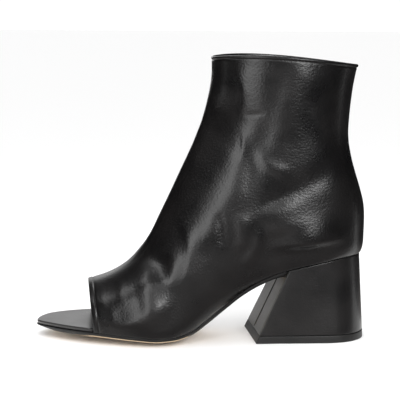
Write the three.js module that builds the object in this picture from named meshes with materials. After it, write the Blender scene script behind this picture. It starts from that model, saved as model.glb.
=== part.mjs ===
import * as THREE from 'three';
import { mergeVertices } from 'three/addons/utils/BufferGeometryUtils.js';

// An open-toe leather ankle boot on a flared block heel, a left one, in millimetres.
// The toe points along -X, the lateral side faces -Y, the medial side +Y, and the floor is z = 0.
// The origin lies on the floor in the middle of the length and of the width.

// Driving sizes of the whole boot
const bootLength = 245; // tip of the insole to the bulge of the counter
const ballWidth = 85; // sole across the ball of the foot
const bootHeight = 209; // floor to the front of the collar
const collarDrop = 5.5; // how much lower the back of the collar is
const collarArch = 3.2; // rise of the collar's side above the line from its front to its back
const ankleWidth = 69; // upper across the ankle
const collarWidth = 74; // upper across the collar
const seamGap = 0.3; // between two pieces that meet
const middleShift = 0.0265; // middle of the boot to the medial side of the seat's, share of ballWidth

// Upper
const upperWall = 1.9; // outer leather and lining together
const bandStep = 0.5; // how far the turned edges stand out of the wall
const toeBandWidth = 3.4; // turned edge round the toe opening
const featherReach = 0.4; // foot of the upper outside the sole's outline
const leastBulge = 0.3; // how far the side of the upper stands out over its foot at least
const tuckRadius = 11; // height of the rounding over the feather edge
const tuckDepth = 2.8; // how far the side draws in there at the waist

// Sole
const outsoleThickness = 3;
const outsoleTipThickness = 1; // where it is thinned at the tip of the toe
const insoleThickness = 2.7;
const edgeLift = 3.6; // edge of the outsole above the floor at the ball, where its middle touches
const flatSpotDepth = 0.3; // how much of the round ball is flattened on the floor
const outsoleBevel = 0.9; // slant of the outsole's lower edge
const insoleRound = 0.8; // rounding of the wrapped insole's upper edge
const insoleInset = 0.4; // insole inside the sole's outline at the bare toe
const insoleClearance = 0.6; // insole to the inside of the upper

// Heel
const heelHeight = 62.6; // floor to the seam under the counter
const heelBaseLength = 84.6; // breast to back on the floor
const heelBaseWidth = 61.5; // widest on the floor
const heelBaseShift = -2.1; // middle of the heel's foot to the lateral side
const heelTopLength = 57; // breast to back under the counter
const heelLip = 0.6; // heel outside the sole's outline at its top
const breastTurn = 1.2; // medial corner of the breast ahead of the lateral one, on the floor
const topLiftThickness = 5.5;
const topLiftLip = 0.25; // top lift outside the covered block

// Steps of the faceted surfaces
const stepsAcross = 6;
const stepsRound = 16; // from the ridge down to the feather edge, on each side
const capSteps = 9;

const toeX = -bootLength / 2;
const collarBackHeight = bootHeight - collarDrop;
const collarRow = 19;
const collarBandRow = 18;

// Reads rows of numbers as objects with one name for each column.
function table(names, rows) {
  return rows.map((row) => Object.fromEntries(names.map((name, i) => [name, row[i]])));
}

// Medial or lateral distance of the sole's edge from the middle line, by the share of the length
// from the toe. The distances are shares of ballWidth. Toe and heel are closed by superellipses.
const lateralEdge = table(['at', 'out'], [
  [0.350, 0.474],
  [0.399, 0.452],
  [0.448, 0.392],
  [0.497, 0.331],
  [0.554, 0.291],
  [0.611, 0.287],
  [0.668, 0.304],
  [0.726, 0.325],
  [0.811, 0.338],
]);
const medialEdge = table(['at', 'out'], [
  [0.280, 0.530],
  [0.350, 0.500],
  [0.399, 0.435],
  [0.448, 0.353],
  [0.497, 0.278],
  [0.554, 0.220],
  [0.611, 0.205],
  [0.668, 0.235],
  [0.726, 0.290],
  [0.811, 0.329],
]);
const tipShift = 0.1235; // tip of the toe to the medial side, share of ballWidth
const lateralToePower = 1.5;
const medialToePower = 2.3;
const heelPower = 2.2;
const soleEnd = 0.985; // back of the seat, share of the length

// Top of the outsole seen from the side: 0 at the ball and 1 under the counter.
const soleLine = table(['at', 'rise'], [
  [0.000, 0.036],
  [0.048, 0.050],
  [0.166, 0.047],
  [0.272, 0.023],
  [0.366, 0.000],
  [0.415, 0.011],
  [0.464, 0.067],
  [0.513, 0.198],
  [0.562, 0.362],
  [0.611, 0.530],
  [0.660, 0.668],
  [0.709, 0.771],
  [0.750, 0.832],
  [0.803, 0.888],
  [0.854, 0.934],
  [0.917, 0.984],
  [0.962, 1.000],
  [1.000, 1.000],
]);

// Back of the upper from the heel's seam (0) to the collar (1), shares of bootLength from the toe,
// before its foot is drawn in
const backLine = table(['up', 'at'], [
  [0.000, 0.9980],
  [0.112, 0.9994],
  [0.171, 1.0000],
  [0.221, 0.9994],
  [0.274, 0.9959],
  [0.328, 0.9882],
  [0.382, 0.9788],
  [0.436, 0.9690],
  [0.489, 0.9600],
  [0.543, 0.9528],
  [0.596, 0.9475],
  [0.649, 0.9455],
  [0.726, 0.9478],
  [0.861, 0.9555],
  [0.945, 0.9637],
  [1.000, 0.9710],
]);

// The fan of sections through the upper, from the toe opening to the collar. Each one runs from a
// point on the front ridge, leaning down by lean degrees, to the sole or to the back line.
// ridgeX: share of bootLength from the toe; ridgeZ: share of bootHeight
// centre: middle of the section to the medial side, share of ballWidth
// half: greatest half-width, share of the size named in the last column
// widest: from the ridge to the widest place, share of bootLength
// front, back: roundness of the parts before and behind it, where 2 is an ellipse
// tuck: how far the side draws in to its foot, share of tuckDepth; arch: share of collarArch
const fan = table(
  ['ridgeX', 'ridgeZ', 'lean', 'centre', 'half', 'widest', 'front', 'back', 'tuck', 'arch', 'of'],
  [
    [0.1568, 0.200, 84.4, 0.100, 0.412, 0.106, 2.15, 2.00, 0.20, 0, ballWidth],
    [0.2194, 0.227, 84.0, 0.059, 0.480, 0.126, 2.10, 2.00, 0.30, 0, ballWidth],
    [0.2724, 0.265, 79.2, 0.034, 0.517, 0.154, 2.05, 2.00, 0.40, 0, ballWidth],
    [0.3133, 0.318, 74.0, 0.010, 0.494, 0.184, 2.00, 2.00, 0.55, 0, ballWidth],
    [0.3447, 0.379, 68.5, 0.002, 0.455, 0.202, 1.95, 2.00, 0.75, 0, ballWidth],
    [0.3745, 0.452, 61.5, 0.000, 0.427, 0.212, 1.95, 2.05, 0.90, 0, ballWidth],
    [0.4043, 0.525, 53.8, 0.000, 0.412, 0.222, 1.95, 2.15, 1.00, 0, ballWidth],
    [0.4329, 0.597, 46.8, 0.000, 0.405, 0.240, 1.95, 2.25, 1.05, 0, ballWidth],
    [0.4549, 0.652, 42.3, 0.000, 0.500, 0.262, 1.95, 2.35, 1.10, 0, ankleWidth],
    [0.4733, 0.700, 39.5, 0.000, 0.500, 0.284, 1.95, 2.40, 1.15, 0, ankleWidth],
    [0.4859, 0.738, 37.9, 0.000, 0.500, 0.298, 1.95, 2.40, 1.15, 0, ankleWidth],
    [0.4953, 0.766, 36.9, 0.000, 0.499, 0.303, 1.95, 2.40, 1.15, 0, ankleWidth],
    [0.5039, 0.797, 35.6, 0.000, 0.497, 0.301, 1.95, 2.40, 1.15, 0, ankleWidth],
    [0.5129, 0.832, 33.4, 0.000, 0.495, 0.291, 1.95, 2.35, 1.15, 0, ankleWidth],
    [0.5198, 0.866, 30.6, 0.000, 0.493, 0.272, 1.97, 2.30, 1.15, 0, ankleWidth],
    [0.5251, 0.898, 27.0, 0.000, 0.496, 0.249, 2.00, 2.20, 1.15, 0, ankleWidth],
    [0.5284, 0.927, 21.9, 0.000, 0.505, 0.230, 2.05, 2.15, 1.15, 0.2, ankleWidth],
    [0.5296, 0.954, 13.8, 0.000, 0.517, 0.220, 2.10, 2.10, 1.15, 0.6, ankleWidth],
    [0.5294, 0.984, 2.9, 0.000, 0.496, 0.220, 2.15, 2.10, 1.15, 1, collarWidth],
    [0.5308, 1.000, 2.9, 0.000, 0.500, 0.221, 2.15, 2.10, 1.15, 1, collarWidth],
  ],
).map((row) => ({ ...row, half: row.half * row.of }));

// A smooth curve through the rows that never swings past them.
function curveThrough(rows, by, key, levelEnds) {
  const x = rows.map((row) => row[by]);
  const y = rows.map((row) => row[key]);
  const last = x.length - 1;
  const rate = (i) => (y[i + 1] - y[i]) / (x[i + 1] - x[i]);
  const slope = (i) => {
    if (i === 0) return levelEnds ? 0 : rate(0);
    if (i === last) return levelEnds ? 0 : rate(last - 1);
    const before = rate(i - 1);
    const after = rate(i);
    return before * after <= 0 ? 0 : (2 * before * after) / (before + after);
  };
  return (at) => {
    let i = 0;
    while (i < last - 1 && at > x[i + 1]) i += 1;
    const run = x[i + 1] - x[i];
    const t = THREE.MathUtils.clamp((at - x[i]) / run, 0, 1);
    const startShare = (1 + 2 * t) * (1 - t) * (1 - t);
    const startTurn = t * (1 - t) * (1 - t);
    const endTurn = t * t * (t - 1);
    return y[i] * startShare + y[i + 1] * (1 - startShare)
      + run * (slope(i) * startTurn + slope(i + 1) * endTurn);
  };
}

// Outline of the sole

const lateralOut = curveThrough(lateralEdge, 'at', 'out', true);
const medialOut = curveThrough(medialEdge, 'at', 'out', true);

function superellipse(t, power) {
  return (1 - Math.abs(1 - t) ** power) ** (1 / power);
}

// Distance of the sole's edge from the middle line at a share of the length; side is -1 for the
// lateral edge, which lies at -Y, and 1 for the medial one.
function edgeOut(side, at) {
  const rows = side < 0 ? lateralEdge : medialEdge;
  const power = side < 0 ? lateralToePower : medialToePower;
  const first = rows[0];
  const last = rows[rows.length - 1];
  const tip = side * tipShift;
  if (at < first.at) {
    return ballWidth * (tip + (first.out - tip) * superellipse(at / first.at, power));
  }
  if (at > last.at) {
    const t = Math.min((at - last.at) / (soleEnd - last.at), 1);
    return ballWidth * last.out * superellipse(1 - t, heelPower);
  }
  return ballWidth * (side < 0 ? lateralOut(at) : medialOut(at));
}

// The same edge as a point of the plan, moved inward by inset at right angles to the outline.
function edgePoint(side, at, inset) {
  const here = new THREE.Vector2(toeX + bootLength * at, side * edgeOut(side, at));
  if (inset === 0) return here;
  const reach = 1e-4;
  const a = Math.max(at - reach, 0);
  const b = Math.min(at + reach, soleEnd);
  const along = new THREE.Vector2(bootLength * (b - a), side * (edgeOut(side, b) - edgeOut(side, a)));
  if (at <= 0) along.set(0, side);
  if (at >= soleEnd) along.set(0, -side);
  along.normalize();
  return here.add(new THREE.Vector2(-along.y, along.x).multiplyScalar(-side * inset));
}

// Heights along the sole

const soleRise = curveThrough(soleLine, 'at', 'rise', false);
const ballSeat = edgeLift + outsoleThickness;
const tipThinning = 0.07; // share of the length over which the outsole gets its full thickness

function shareAt(x) {
  return (x - toeX) / bootLength;
}

function seatZ(x) {
  return ballSeat + (heelHeight - ballSeat) * soleRise(shareAt(x));
}

function outsoleEdgeZ(x) {
  const full = THREE.MathUtils.smoothstep(shareAt(x), 0, tipThinning);
  return seatZ(x) - THREE.MathUtils.lerp(outsoleTipThickness, outsoleThickness, full);
}

function featherZ(x) {
  return seatZ(x) + seamGap;
}

// Closed meshes from rows of points

function solid(quadRows) {
  const positions = [];
  const put = (...points) => points.forEach((p) => positions.push(p.x, p.y, p.z));
  for (const [a, b, c, d] of quadRows) {
    put(a, b, c);
    put(a, c, d);
  }
  const soup = new THREE.BufferGeometry();
  soup.setAttribute('position', new THREE.Float32BufferAttribute(positions, 3));
  const merged = mergeVertices(soup, 1e-3);
  const index = merged.getIndex().array;
  const kept = [];
  for (let i = 0; i < index.length; i += 3) {
    const [a, b, c] = [index[i], index[i + 1], index[i + 2]];
    if (a !== b && b !== c && c !== a) kept.push(a, b, c);
  }
  merged.setIndex(kept);
  merged.computeVertexNormals();
  return merged;
}

function strip(a, b, quads) {
  for (let i = 0; i + 1 < a.length; i += 1) quads.push([a[i], b[i], b[i + 1], a[i + 1]]);
}

// A loft through closed rings of points, each with its upper half from the lateral to the medial
// edge and its lower half back. An end ring without width needs no cap; another one is closed
// round its middle.
function loft(rings) {
  const quads = [];
  const half = rings[0].length / 2;
  const closed = rings.map((ring) => [...ring, ring[0]]);
  for (let i = 0; i + 1 < closed.length; i += 1) strip(closed[i], closed[i + 1], quads);
  const cap = (ring) => {
    if (ring[0].distanceTo(ring[half - 1]) < seamGap) return;
    const middle = ring.reduce((sum, p) => sum.add(p), new THREE.Vector3()).divideScalar(ring.length);
    for (let i = 0; i + 1 < ring.length; i += 1) quads.push([middle, ring[i], ring[i + 1], middle]);
  };
  cap(closed[0]);
  const end = closed[closed.length - 1];
  cap([...end.slice(0, half).reverse(), ...end.slice(half, 2 * half).reverse(), end[half - 1]]);
  return solid(quads);
}

// Stations along the sole, closer together where toe and heel turn
function stationsTo(end) {
  const toe = lateralEdge[0].at;
  const heel = lateralEdge[lateralEdge.length - 1].at;
  const list = [];
  for (let i = 0; i < capSteps; i += 1) {
    list.push(toe * (1 - Math.cos((Math.PI / 2) * (i / capSteps))));
  }
  for (let i = 0; i < 2 * capSteps; i += 1) list.push(toe + (heel - toe) * (i / (2 * capSteps)));
  for (let i = 0; i <= capSteps; i += 1) {
    list.push(heel + (soleEnd - heel) * Math.sin((Math.PI / 2) * (i / capSteps)));
  }
  const kept = list.filter((at) => at < end - 0.01);
  return [...kept, end];
}

// Points across the sole at one station: the two edge points, then rows of points between the
// edges moved in by inner.
function across(at, outer, inner, edgeZ, innerZ) {
  const outerEdges = [edgePoint(-1, at, outer), edgePoint(1, at, outer)];
  const innerEdges = [edgePoint(-1, at, inner), edgePoint(1, at, inner)];
  const points = [new THREE.Vector3(outerEdges[0].x, outerEdges[0].y, edgeZ(outerEdges[0].x))];
  for (let j = 0; j <= stepsAcross; j += 1) {
    const share = j / stepsAcross;
    const plan = innerEdges[0].clone().lerp(innerEdges[1], share);
    points.push(new THREE.Vector3(plan.x, plan.y, innerZ(plan.x, 2 * share - 1)));
  }
  points.push(new THREE.Vector3(outerEdges[1].x, outerEdges[1].y, edgeZ(outerEdges[1].x)));
  return points;
}

// Breast of the heel: a plane that leans back from the floor to the seat
const heelBackX = toeX + bootLength * soleEnd + heelLip;
const heelBaseBackX = bootLength / 2 - 0.2 * topLiftLip;
const breastTopX = heelBackX - heelTopLength;
const breastFootX = heelBaseBackX - heelBaseLength;
const breastLean = (breastTopX - breastFootX) / seatZ(breastTopX);

function breastX(z) {
  return breastFootX + breastLean * z;
}

// Outsole: it bulges downward across, and the bulge is flattened on the floor at the ball
const outsoleClearance = seamGap + 0.2 * breastTurn;
const flatMiddle = 0.4; // share of the half-width over which the bottom is level across
const waistFlattening = 0.6; // how much of the bulge is gone under the waist
const tipFlattening = 0.16; // share of the length over which the bulge grows from the tip

function outsoleBottomZ(x, share) {
  const beside = Math.max(0, (Math.abs(share) - flatMiddle) / (1 - flatMiddle));
  const waist = THREE.MathUtils.smoothstep(shareAt(x), lateralEdge[1].at, lateralEdge[4].at);
  const tip = THREE.MathUtils.smoothstep(shareAt(x), 0, tipFlattening);
  const fullness = tip * (1 - waistFlattening * waist) * (1 - beside ** 2);
  return Math.max(0, outsoleEdgeZ(x) - (edgeLift + flatSpotDepth) * fullness);
}

function outsole() {
  const drop = (p) => seatZ(p.x) - p.z;
  const beforeBreast = (p) => {
    const thickness = drop(p);
    for (let i = 0; i < 10; i += 1) {
      p.x = Math.min(p.x, breastX(p.z) - outsoleClearance);
      p.z = seatZ(p.x) - thickness;
    }
    return p;
  };
  const rings = stationsTo(shareAt(breastTopX) + 0.002).map((at) => {
    const top = across(at, 0, 0.5 * outsoleBevel, seatZ, seatZ);
    const bottom = across(at, outsoleBevel, 3 * outsoleBevel, outsoleEdgeZ, outsoleBottomZ);
    return [...top, ...bottom.reverse().map(beforeBreast)];
  });
  rings[rings.length - 1].forEach(beforeBreast);
  return loft(rings);
}

// Sections of the upper

const rowed = fan.map((row, i) => ({ ...row, row: i }));
const columns = Object.fromEntries(Object.keys(fan[0]).filter((key) => key !== 'of')
  .map((key) => [key, curveThrough(rowed, 'row', key, false)]));
const backAt = curveThrough(backLine, 'up', 'at', false);

function backX(z) {
  const seam = featherZ(bootLength / 2);
  return toeX + bootLength * backAt((z - seam) / (collarBackHeight - seam));
}

// Where a line from the ridge meets the sole or the back line, by halving the stretch
function footOf(ridge, lean) {
  const down = new THREE.Vector2(Math.cos(lean), -Math.sin(lean));
  let near = 0;
  let far = 2 * bootLength;
  for (let i = 0; i < 40; i += 1) {
    const half = (near + far) / 2;
    const p = ridge.clone().addScaledVector(down, half);
    if (p.y > featherZ(p.x) && p.x < backX(p.y)) near = half;
    else far = half;
  }
  const foot = ridge.clone().addScaledVector(down, near);
  return { down, length: near, foot, onSole: foot.y - featherZ(foot.x) < backX(foot.y) - foot.x };
}

function sectionAt(row) {
  const value = Object.fromEntries(Object.entries(columns).map(([key, f]) => [key, f(row)]));
  const ridge = new THREE.Vector2(toeX + bootLength * value.ridgeX, bootHeight * value.ridgeZ);
  return { ...value, ridge, ...footOf(ridge, THREE.MathUtils.degToRad(value.lean)) };
}

// Insole: the whole outline at the bare toe, and inside the upper from the toe opening on
const openingX = sectionAt(0).foot.x;
const insideInset = upperWall - featherReach + insoleClearance;

function insole() {
  const stepEnd = shareAt(openingX - 2 * seamGap);
  const stepStart = stepEnd - insideInset / bootLength / 3;
  const bare = stationsTo(soleEnd).filter((at) => at < stepStart - 0.004);
  const covered = stationsTo(soleEnd).filter((at) => at > stepEnd + 0.004);
  const ring = (at, inset) => {
    const low = (x) => featherZ(x);
    const high = (x) => featherZ(x) + insoleThickness;
    const top = across(at, inset, inset + insoleRound, (x) => high(x) - insoleRound, high);
    const bottom = across(at, inset, inset + insoleRound, low, low);
    return [...top, ...bottom.reverse()];
  };
  return loft([
    ...[...bare, stepStart].map((at) => ring(at, insoleInset)),
    ...[stepEnd, ...covered].map((at) => ring(at, insideInset)),
  ]);
}

// Heel block and top lift: straight sides from the D of the floor up to the seat
const roundStart = 0.62; // share of the heel's length on the floor where its back begins to round
const breastWidth = 0.96; // heel across the breast on the floor, share of heelBaseWidth

function heelPoint(side, t, height) {
  const topAt = shareAt(breastTopX) + (soleEnd - shareAt(breastTopX)) * t;
  const top = edgePoint(side, topAt, -heelLip);
  const topZ = seatZ(top.x);
  const roundShare = Math.max(0, (t - roundStart) / (1 - roundStart));
  const swell = THREE.MathUtils.lerp(breastWidth, 1, THREE.MathUtils.smoothstep(t, 0, roundStart));
  const half = (heelBaseWidth / 2) * swell * superellipse(1 - roundShare, heelPower);
  const turn = -breastTurn * (0.5 + 0.5 * side) * (1 - t);
  const base = new THREE.Vector2(breastFootX + heelBaseLength * t + turn, heelBaseShift + side * half);
  const share = height / topZ;
  const plan = base.lerp(top, share);
  return new THREE.Vector3(plan.x, plan.y, height);
}

const heelStations = [];
for (let i = 0; i <= 2 * capSteps; i += 1) {
  heelStations.push(Math.sin((Math.PI / 2) * (i / (2 * capSteps))));
}

// A slice of the heel between two heights; the upper one is a function of x.
function heelSlice(lowZ, highZ, lip) {
  const moved = (p, side) => p.add(new THREE.Vector3(0, side * lip, 0));
  const row = (z, t) => {
    const points = [];
    const lateral = moved(z(-1, t), -1);
    const medial = moved(z(1, t), 1);
    for (let j = 0; j <= stepsAcross; j += 1) points.push(lateral.clone().lerp(medial, j / stepsAcross));
    return points;
  };
  const rings = heelStations.map((t) => [...row(highZ, t), ...row(lowZ, t).reverse()]);
  return loft(rings);
}

function heel() {
  const low = (side, t) => heelPoint(side, t, topLiftThickness + seamGap);
  const high = (side, t) => {
    let height = seatZ(breastTopX);
    for (let i = 0; i < 20; i += 1) height = seatZ(heelPoint(side, t, height).x);
    return heelPoint(side, t, height);
  };
  return heelSlice(low, high, 0);
}

function topLift() {
  const low = (side, t) => heelPoint(side, t, 0);
  const high = (side, t) => heelPoint(side, t, topLiftThickness);
  return heelSlice(low, high, topLiftLip);
}

// Upper: the outer surface of the fan, by row and by t from -1 at the lateral foot over 0 at the
// ridge to 1 at the medial foot

const widestT = 0.5; // t at the widest place of a section
const tuckT = 0.8125; // t where the steps get finer towards the foot
const footSlope = 0.5; // least rise from the foot, over tuckRadius, for a whole unit of t
const finePart = 1.3; // length of the finely stepped part, over tuckRadius
const archPower = 0.75; // the collar's arch is highest in front of its middle where this is under 1

// The sole's edge moved outward, where the upper would stand if its foot were not drawn in
function plainOut(side, x, offset) {
  const rows = side < 0 ? lateralEdge : medialEdge;
  const last = rows[rows.length - 1];
  const start = toeX + bootLength * last.at;
  if (x < start) return edgeOut(side, shareAt(x)) + offset;
  const run = toeX + bootLength * soleEnd + offset - start;
  return (ballWidth * last.out + offset) * superellipse(1 - Math.min((x - start) / run, 1), heelPower);
}

// The surface before its foot is drawn in. Behind the widest place it passes from the width of the
// body down to the outline over the sole, and both of them close at the back line.
function plainPoint(row, t) {
  const section = sectionAt(row);
  const side = Math.sign(t) || 1;
  const centreY = ballWidth * section.centre;
  const offset = featherReach + tuckDepth * section.tuck;
  const at = (distance) => section.ridge.clone().addScaledVector(section.down, distance);
  const widest = bootLength * section.widest;
  const widestPoint = at(widest);
  const widestHeight = widestPoint.y - featherZ(widestPoint.x);
  const seatEndX = toeX + bootLength * soleEnd + offset;
  const backShare = (p) => Math.min((p.x - widestPoint.x) / (backX(p.y) - widestPoint.x), 1);
  const soleHalf = (p) => {
    const x = THREE.MathUtils.lerp(widestPoint.x, seatEndX, backShare(p));
    return Math.max(0, plainOut(side, x, offset) - side * centreY);
  };
  const wide = Math.max(section.half, soleHalf(section.foot) + leastBulge);
  const a = Math.abs(t);
  let distance;
  let out;
  if (a <= widestT) {
    const angle = (Math.PI / 2) * (a / widestT);
    distance = widest * (1 - Math.cos(angle) ** (2 / section.front));
    out = wide * Math.sin(angle) ** (2 / section.front);
  } else {
    const fine = Math.max(section.length - finePart * tuckRadius, (widest + section.length) / 2);
    const left = (1 - a) / (1 - tuckT);
    distance = a <= tuckT
      ? THREE.MathUtils.mapLinear(a, widestT, tuckT, widest, fine)
      : THREE.MathUtils.lerp(section.length, fine, left ** 2);
    const p = at(distance);
    const height = THREE.MathUtils.clamp((p.y - featherZ(p.x)) / widestHeight, 0, 1);
    const body = wide * (1 - Math.max(0, backShare(p)) ** section.back) ** (1 / section.back);
    out = THREE.MathUtils.lerp(soleHalf(p), body, 1 - (1 - height) ** 2);
  }
  const plan = at(distance);
  const arch = section.arch * collarArch * Math.sin(Math.PI * (distance / section.length) ** archPower);
  return new THREE.Vector3(
    plan.x - section.down.y * arch,
    centreY + side * out,
    plan.y + section.down.x * arch,
  );
}

function plainNormal(row, t) {
  const reach = 0.02;
  const along = plainPoint(Math.min(row + reach, collarRow), t)
    .sub(plainPoint(Math.max(row - reach, 0), t));
  const round = plainPoint(row, Math.min(t + reach, 1)).sub(plainPoint(row, Math.max(t - reach, -1)));
  return along.cross(round).normalize();
}

// Row of the fan whose foot is the back corner of the seat
function findCornerRow() {
  let sole = 0;
  let back = collarRow;
  for (let i = 0; i < 40; i += 1) {
    const middle = (sole + back) / 2;
    if (sectionAt(middle).onSole) sole = middle;
    else back = middle;
  }
  return back;
}
const cornerRow = findCornerRow();

// One row of points over the upper, drawn in to the foot and then offset outward by some mm. The
// foot itself lies flat over the sole, and nothing near it sinks below.
function surfaceRow(row, offset) {
  const points = [];
  const onSole = row <= cornerRow;
  for (let j = -stepsRound; j <= stepsRound; j += 1) {
    const t = j / stepsRound;
    const atFoot = Math.abs(j) === stepsRound;
    const point = plainPoint(row, t);
    const normal = plainNormal(row, t);
    if (atFoot && row >= cornerRow) normal.add(plainNormal(row, -t)).normalize();
    const height = THREE.MathUtils.clamp((point.z - featherZ(point.x)) / tuckRadius, 0, 1);
    const drawn = (atFoot && onSole) ? 1 : 1 - Math.sqrt(1 - (1 - height) ** 2);
    const inward = new THREE.Vector3(-normal.x, -normal.y, 0).normalize();
    point.addScaledVector(inward, tuckDepth * columns.tuck(row) * drawn);
    point.addScaledVector(normal, offset);
    const least = featherZ(point.x) + footSlope * tuckRadius * (1 - Math.abs(t));
    if (onSole) point.z = atFoot ? featherZ(point.x) : Math.max(point.z, least);
    if (atFoot && row >= cornerRow) point.y = 0;
    points.push(point);
  }
  return points;
}

function upper() {
  const toeBandRow = toeBandWidth / (bootLength * (fan[1].ridgeX - fan[0].ridgeX));
  const edge = 0.02; // the bands' steps, in rows
  const rows = [0, toeBandRow, toeBandRow + edge];
  const waist = [2.5, 8.5]; // rows whose feet lie along the curve of the waist
  for (let row = 0.5; row < collarBandRow; row += row >= waist[0] && row < waist[1] ? 0.25 : 0.5) {
    if (Math.abs(row - cornerRow) > 0.45) rows.push(row);
  }
  for (const step of [-0.36, -0.2, -0.07, 0, 0.1, 0.25, 0.42]) rows.push(cornerRow + step);
  rows.push(collarBandRow - edge, collarBandRow, collarRow);
  rows.sort((a, b) => a - b);
  const raised = (row) => (row <= toeBandRow || row >= collarBandRow ? bandStep : 0);
  const outside = rows.map((row) => surfaceRow(row, raised(row)));
  const inside = rows.map((row) => surfaceRow(row, -upperWall));
  const quads = [];
  for (let i = 0; i + 1 < rows.length; i += 1) {
    strip(outside[i], outside[i + 1], quads);
    strip(inside[i + 1], inside[i], quads);
    if (rows[i] < cornerRow) {
      const last = outside[i].length - 1;
      quads.push([outside[i][0], inside[i][0], inside[i + 1][0], outside[i + 1][0]]);
      quads.push([outside[i + 1][last], inside[i + 1][last], inside[i][last], outside[i][last]]);
    }
  }
  const top = rows.length - 1;
  strip(inside[0], outside[0], quads);
  strip(outside[top], inside[top], quads);
  return solid(quads);
}

// The boot

function piece(name, geometry, colour, roughness) {
  const material = new THREE.MeshStandardMaterial({ color: colour, roughness, metalness: 0 });
  const mesh = new THREE.Mesh(geometry, material);
  mesh.name = name;
  return mesh;
}

const boot = new THREE.Group();
boot.position.y = -middleShift * ballWidth;
boot.add(piece('upper', upper(), 0x17171a, 0.35));
boot.add(piece('insole', insole(), 0x1d1c1e, 0.5));
boot.add(piece('outsole', outsole(), 0xc9b393, 0.6));
boot.add(piece('heel', heel(), 0x1b191b, 0.45));
boot.add(piece('top_lift', topLift(), 0x141414, 0.7));

export default boot;
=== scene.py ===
import math

import bpy
import numpy as np
from mathutils import Matrix, Vector


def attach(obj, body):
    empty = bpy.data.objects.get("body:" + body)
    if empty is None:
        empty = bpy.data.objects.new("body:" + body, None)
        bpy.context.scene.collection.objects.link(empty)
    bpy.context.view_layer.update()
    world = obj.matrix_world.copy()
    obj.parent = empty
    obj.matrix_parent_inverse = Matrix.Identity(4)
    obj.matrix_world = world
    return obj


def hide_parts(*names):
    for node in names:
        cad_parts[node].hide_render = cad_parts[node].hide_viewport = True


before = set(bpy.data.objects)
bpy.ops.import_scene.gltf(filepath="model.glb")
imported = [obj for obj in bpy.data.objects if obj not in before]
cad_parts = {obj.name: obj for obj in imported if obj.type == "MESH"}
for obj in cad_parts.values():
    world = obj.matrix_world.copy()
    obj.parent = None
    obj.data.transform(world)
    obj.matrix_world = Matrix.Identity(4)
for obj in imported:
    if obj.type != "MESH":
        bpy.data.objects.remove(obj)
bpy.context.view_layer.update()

LATERAL = -1
MEDIAL = 1

# Sizes of the whole boot

boot_length = 245
ball_width = 85
boot_height = 209
collar_drop = 5.5
collar_arch = 3.2
ankle_width = 69
collar_width = 74
seam_gap = 0.3
middle_shift = 0.0265 * ball_width

# Sizes of the upper

upper_wall = 1.9
band_step = 0.5
toe_band_width = 3.4
feather_reach = 0.4
least_bulge = 0.3
tuck_radius = 11
tuck_depth = 2.8

# Sizes of the outsole and the insole

outsole_thickness = 3
outsole_tip_thickness = 1
insole_thickness = 2.7
edge_lift = 3.6
flat_spot_depth = 0.3
outsole_bevel = 0.9
insole_round = 0.8
insole_inset = 0.4
insole_clearance = 0.6

# Sizes of the heel

heel_height = 62.6
heel_base_length = 84.6
heel_base_width = 61.5
heel_base_shift = -2.1
heel_top_length = 57
heel_lip = 0.6
breast_turn = 1.2
top_lift_thickness = 5.5
top_lift_lip = 0.25

toe_x = -boot_length / 2
collar_back_height = boot_height - collar_drop
collar_row = 19
collar_band_row = 18

halvings = 40  # how often a stretch is halved to find a point on it
tiny = 1e-9
mm_per_metre = 1000


def table(names, rows):
    """Reads rows of numbers as one array for each named column."""
    return {name: np.array([row[i] for row in rows], float) for i, name in enumerate(names)}


def curve_through(at_rows, values, level_ends=False):
    """A smooth curve through the rows that never swings past them."""
    x = np.asarray(at_rows, float)
    y = np.asarray(values, float)
    runs = np.diff(x)
    rates = np.diff(y) / runs
    slopes = np.zeros(len(x))
    if not level_ends:
        slopes[0] = rates[0]
        slopes[-1] = rates[-1]
    same_way = rates[:-1] * rates[1:] > 0
    total = np.where(same_way, rates[:-1] + rates[1:], 1)
    slopes[1:-1] = np.where(same_way, 2 * rates[:-1] * rates[1:] / total, 0)

    def read(at):
        at = np.asarray(at, float)
        i = np.searchsorted(x[1:-1], at, side="left")
        run = runs[i]
        t = np.clip((at - x[i]) / run, 0, 1)
        start = (1 + 2 * t) * (1 - t) ** 2
        turn = slopes[i] * t * (1 - t) ** 2 + slopes[i + 1] * t * t * (t - 1)
        return y[i] * start + y[i + 1] * (1 - start) + run * turn

    return read


def smoothstep(value, low, high):
    share = np.clip((np.asarray(value, float) - low) / (high - low), 0, 1)
    return share * share * (3 - 2 * share)


def lerp(a, b, share):
    return a + (b - a) * share


# Sole's edge from the middle line, as shares of ball_width, by the share of the length from the toe
sole_edges = {
    LATERAL: table(("at", "out"), [
        (0.350, 0.474),
        (0.399, 0.452),
        (0.448, 0.392),
        (0.497, 0.331),
        (0.554, 0.291),
        (0.611, 0.287),
        (0.668, 0.304),
        (0.726, 0.325),
        (0.811, 0.338),
    ]),
    MEDIAL: table(("at", "out"), [
        (0.280, 0.530),
        (0.350, 0.500),
        (0.399, 0.435),
        (0.448, 0.353),
        (0.497, 0.278),
        (0.554, 0.220),
        (0.611, 0.205),
        (0.668, 0.235),
        (0.726, 0.290),
        (0.811, 0.329),
    ]),
}
edge_curves = {
    side: curve_through(edge["at"], edge["out"], level_ends=True)
    for side, edge in sole_edges.items()
}
toe_powers = {LATERAL: 1.5, MEDIAL: 2.3}
tip_shift = 0.1235
heel_power = 2.2
sole_end = 0.985

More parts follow.
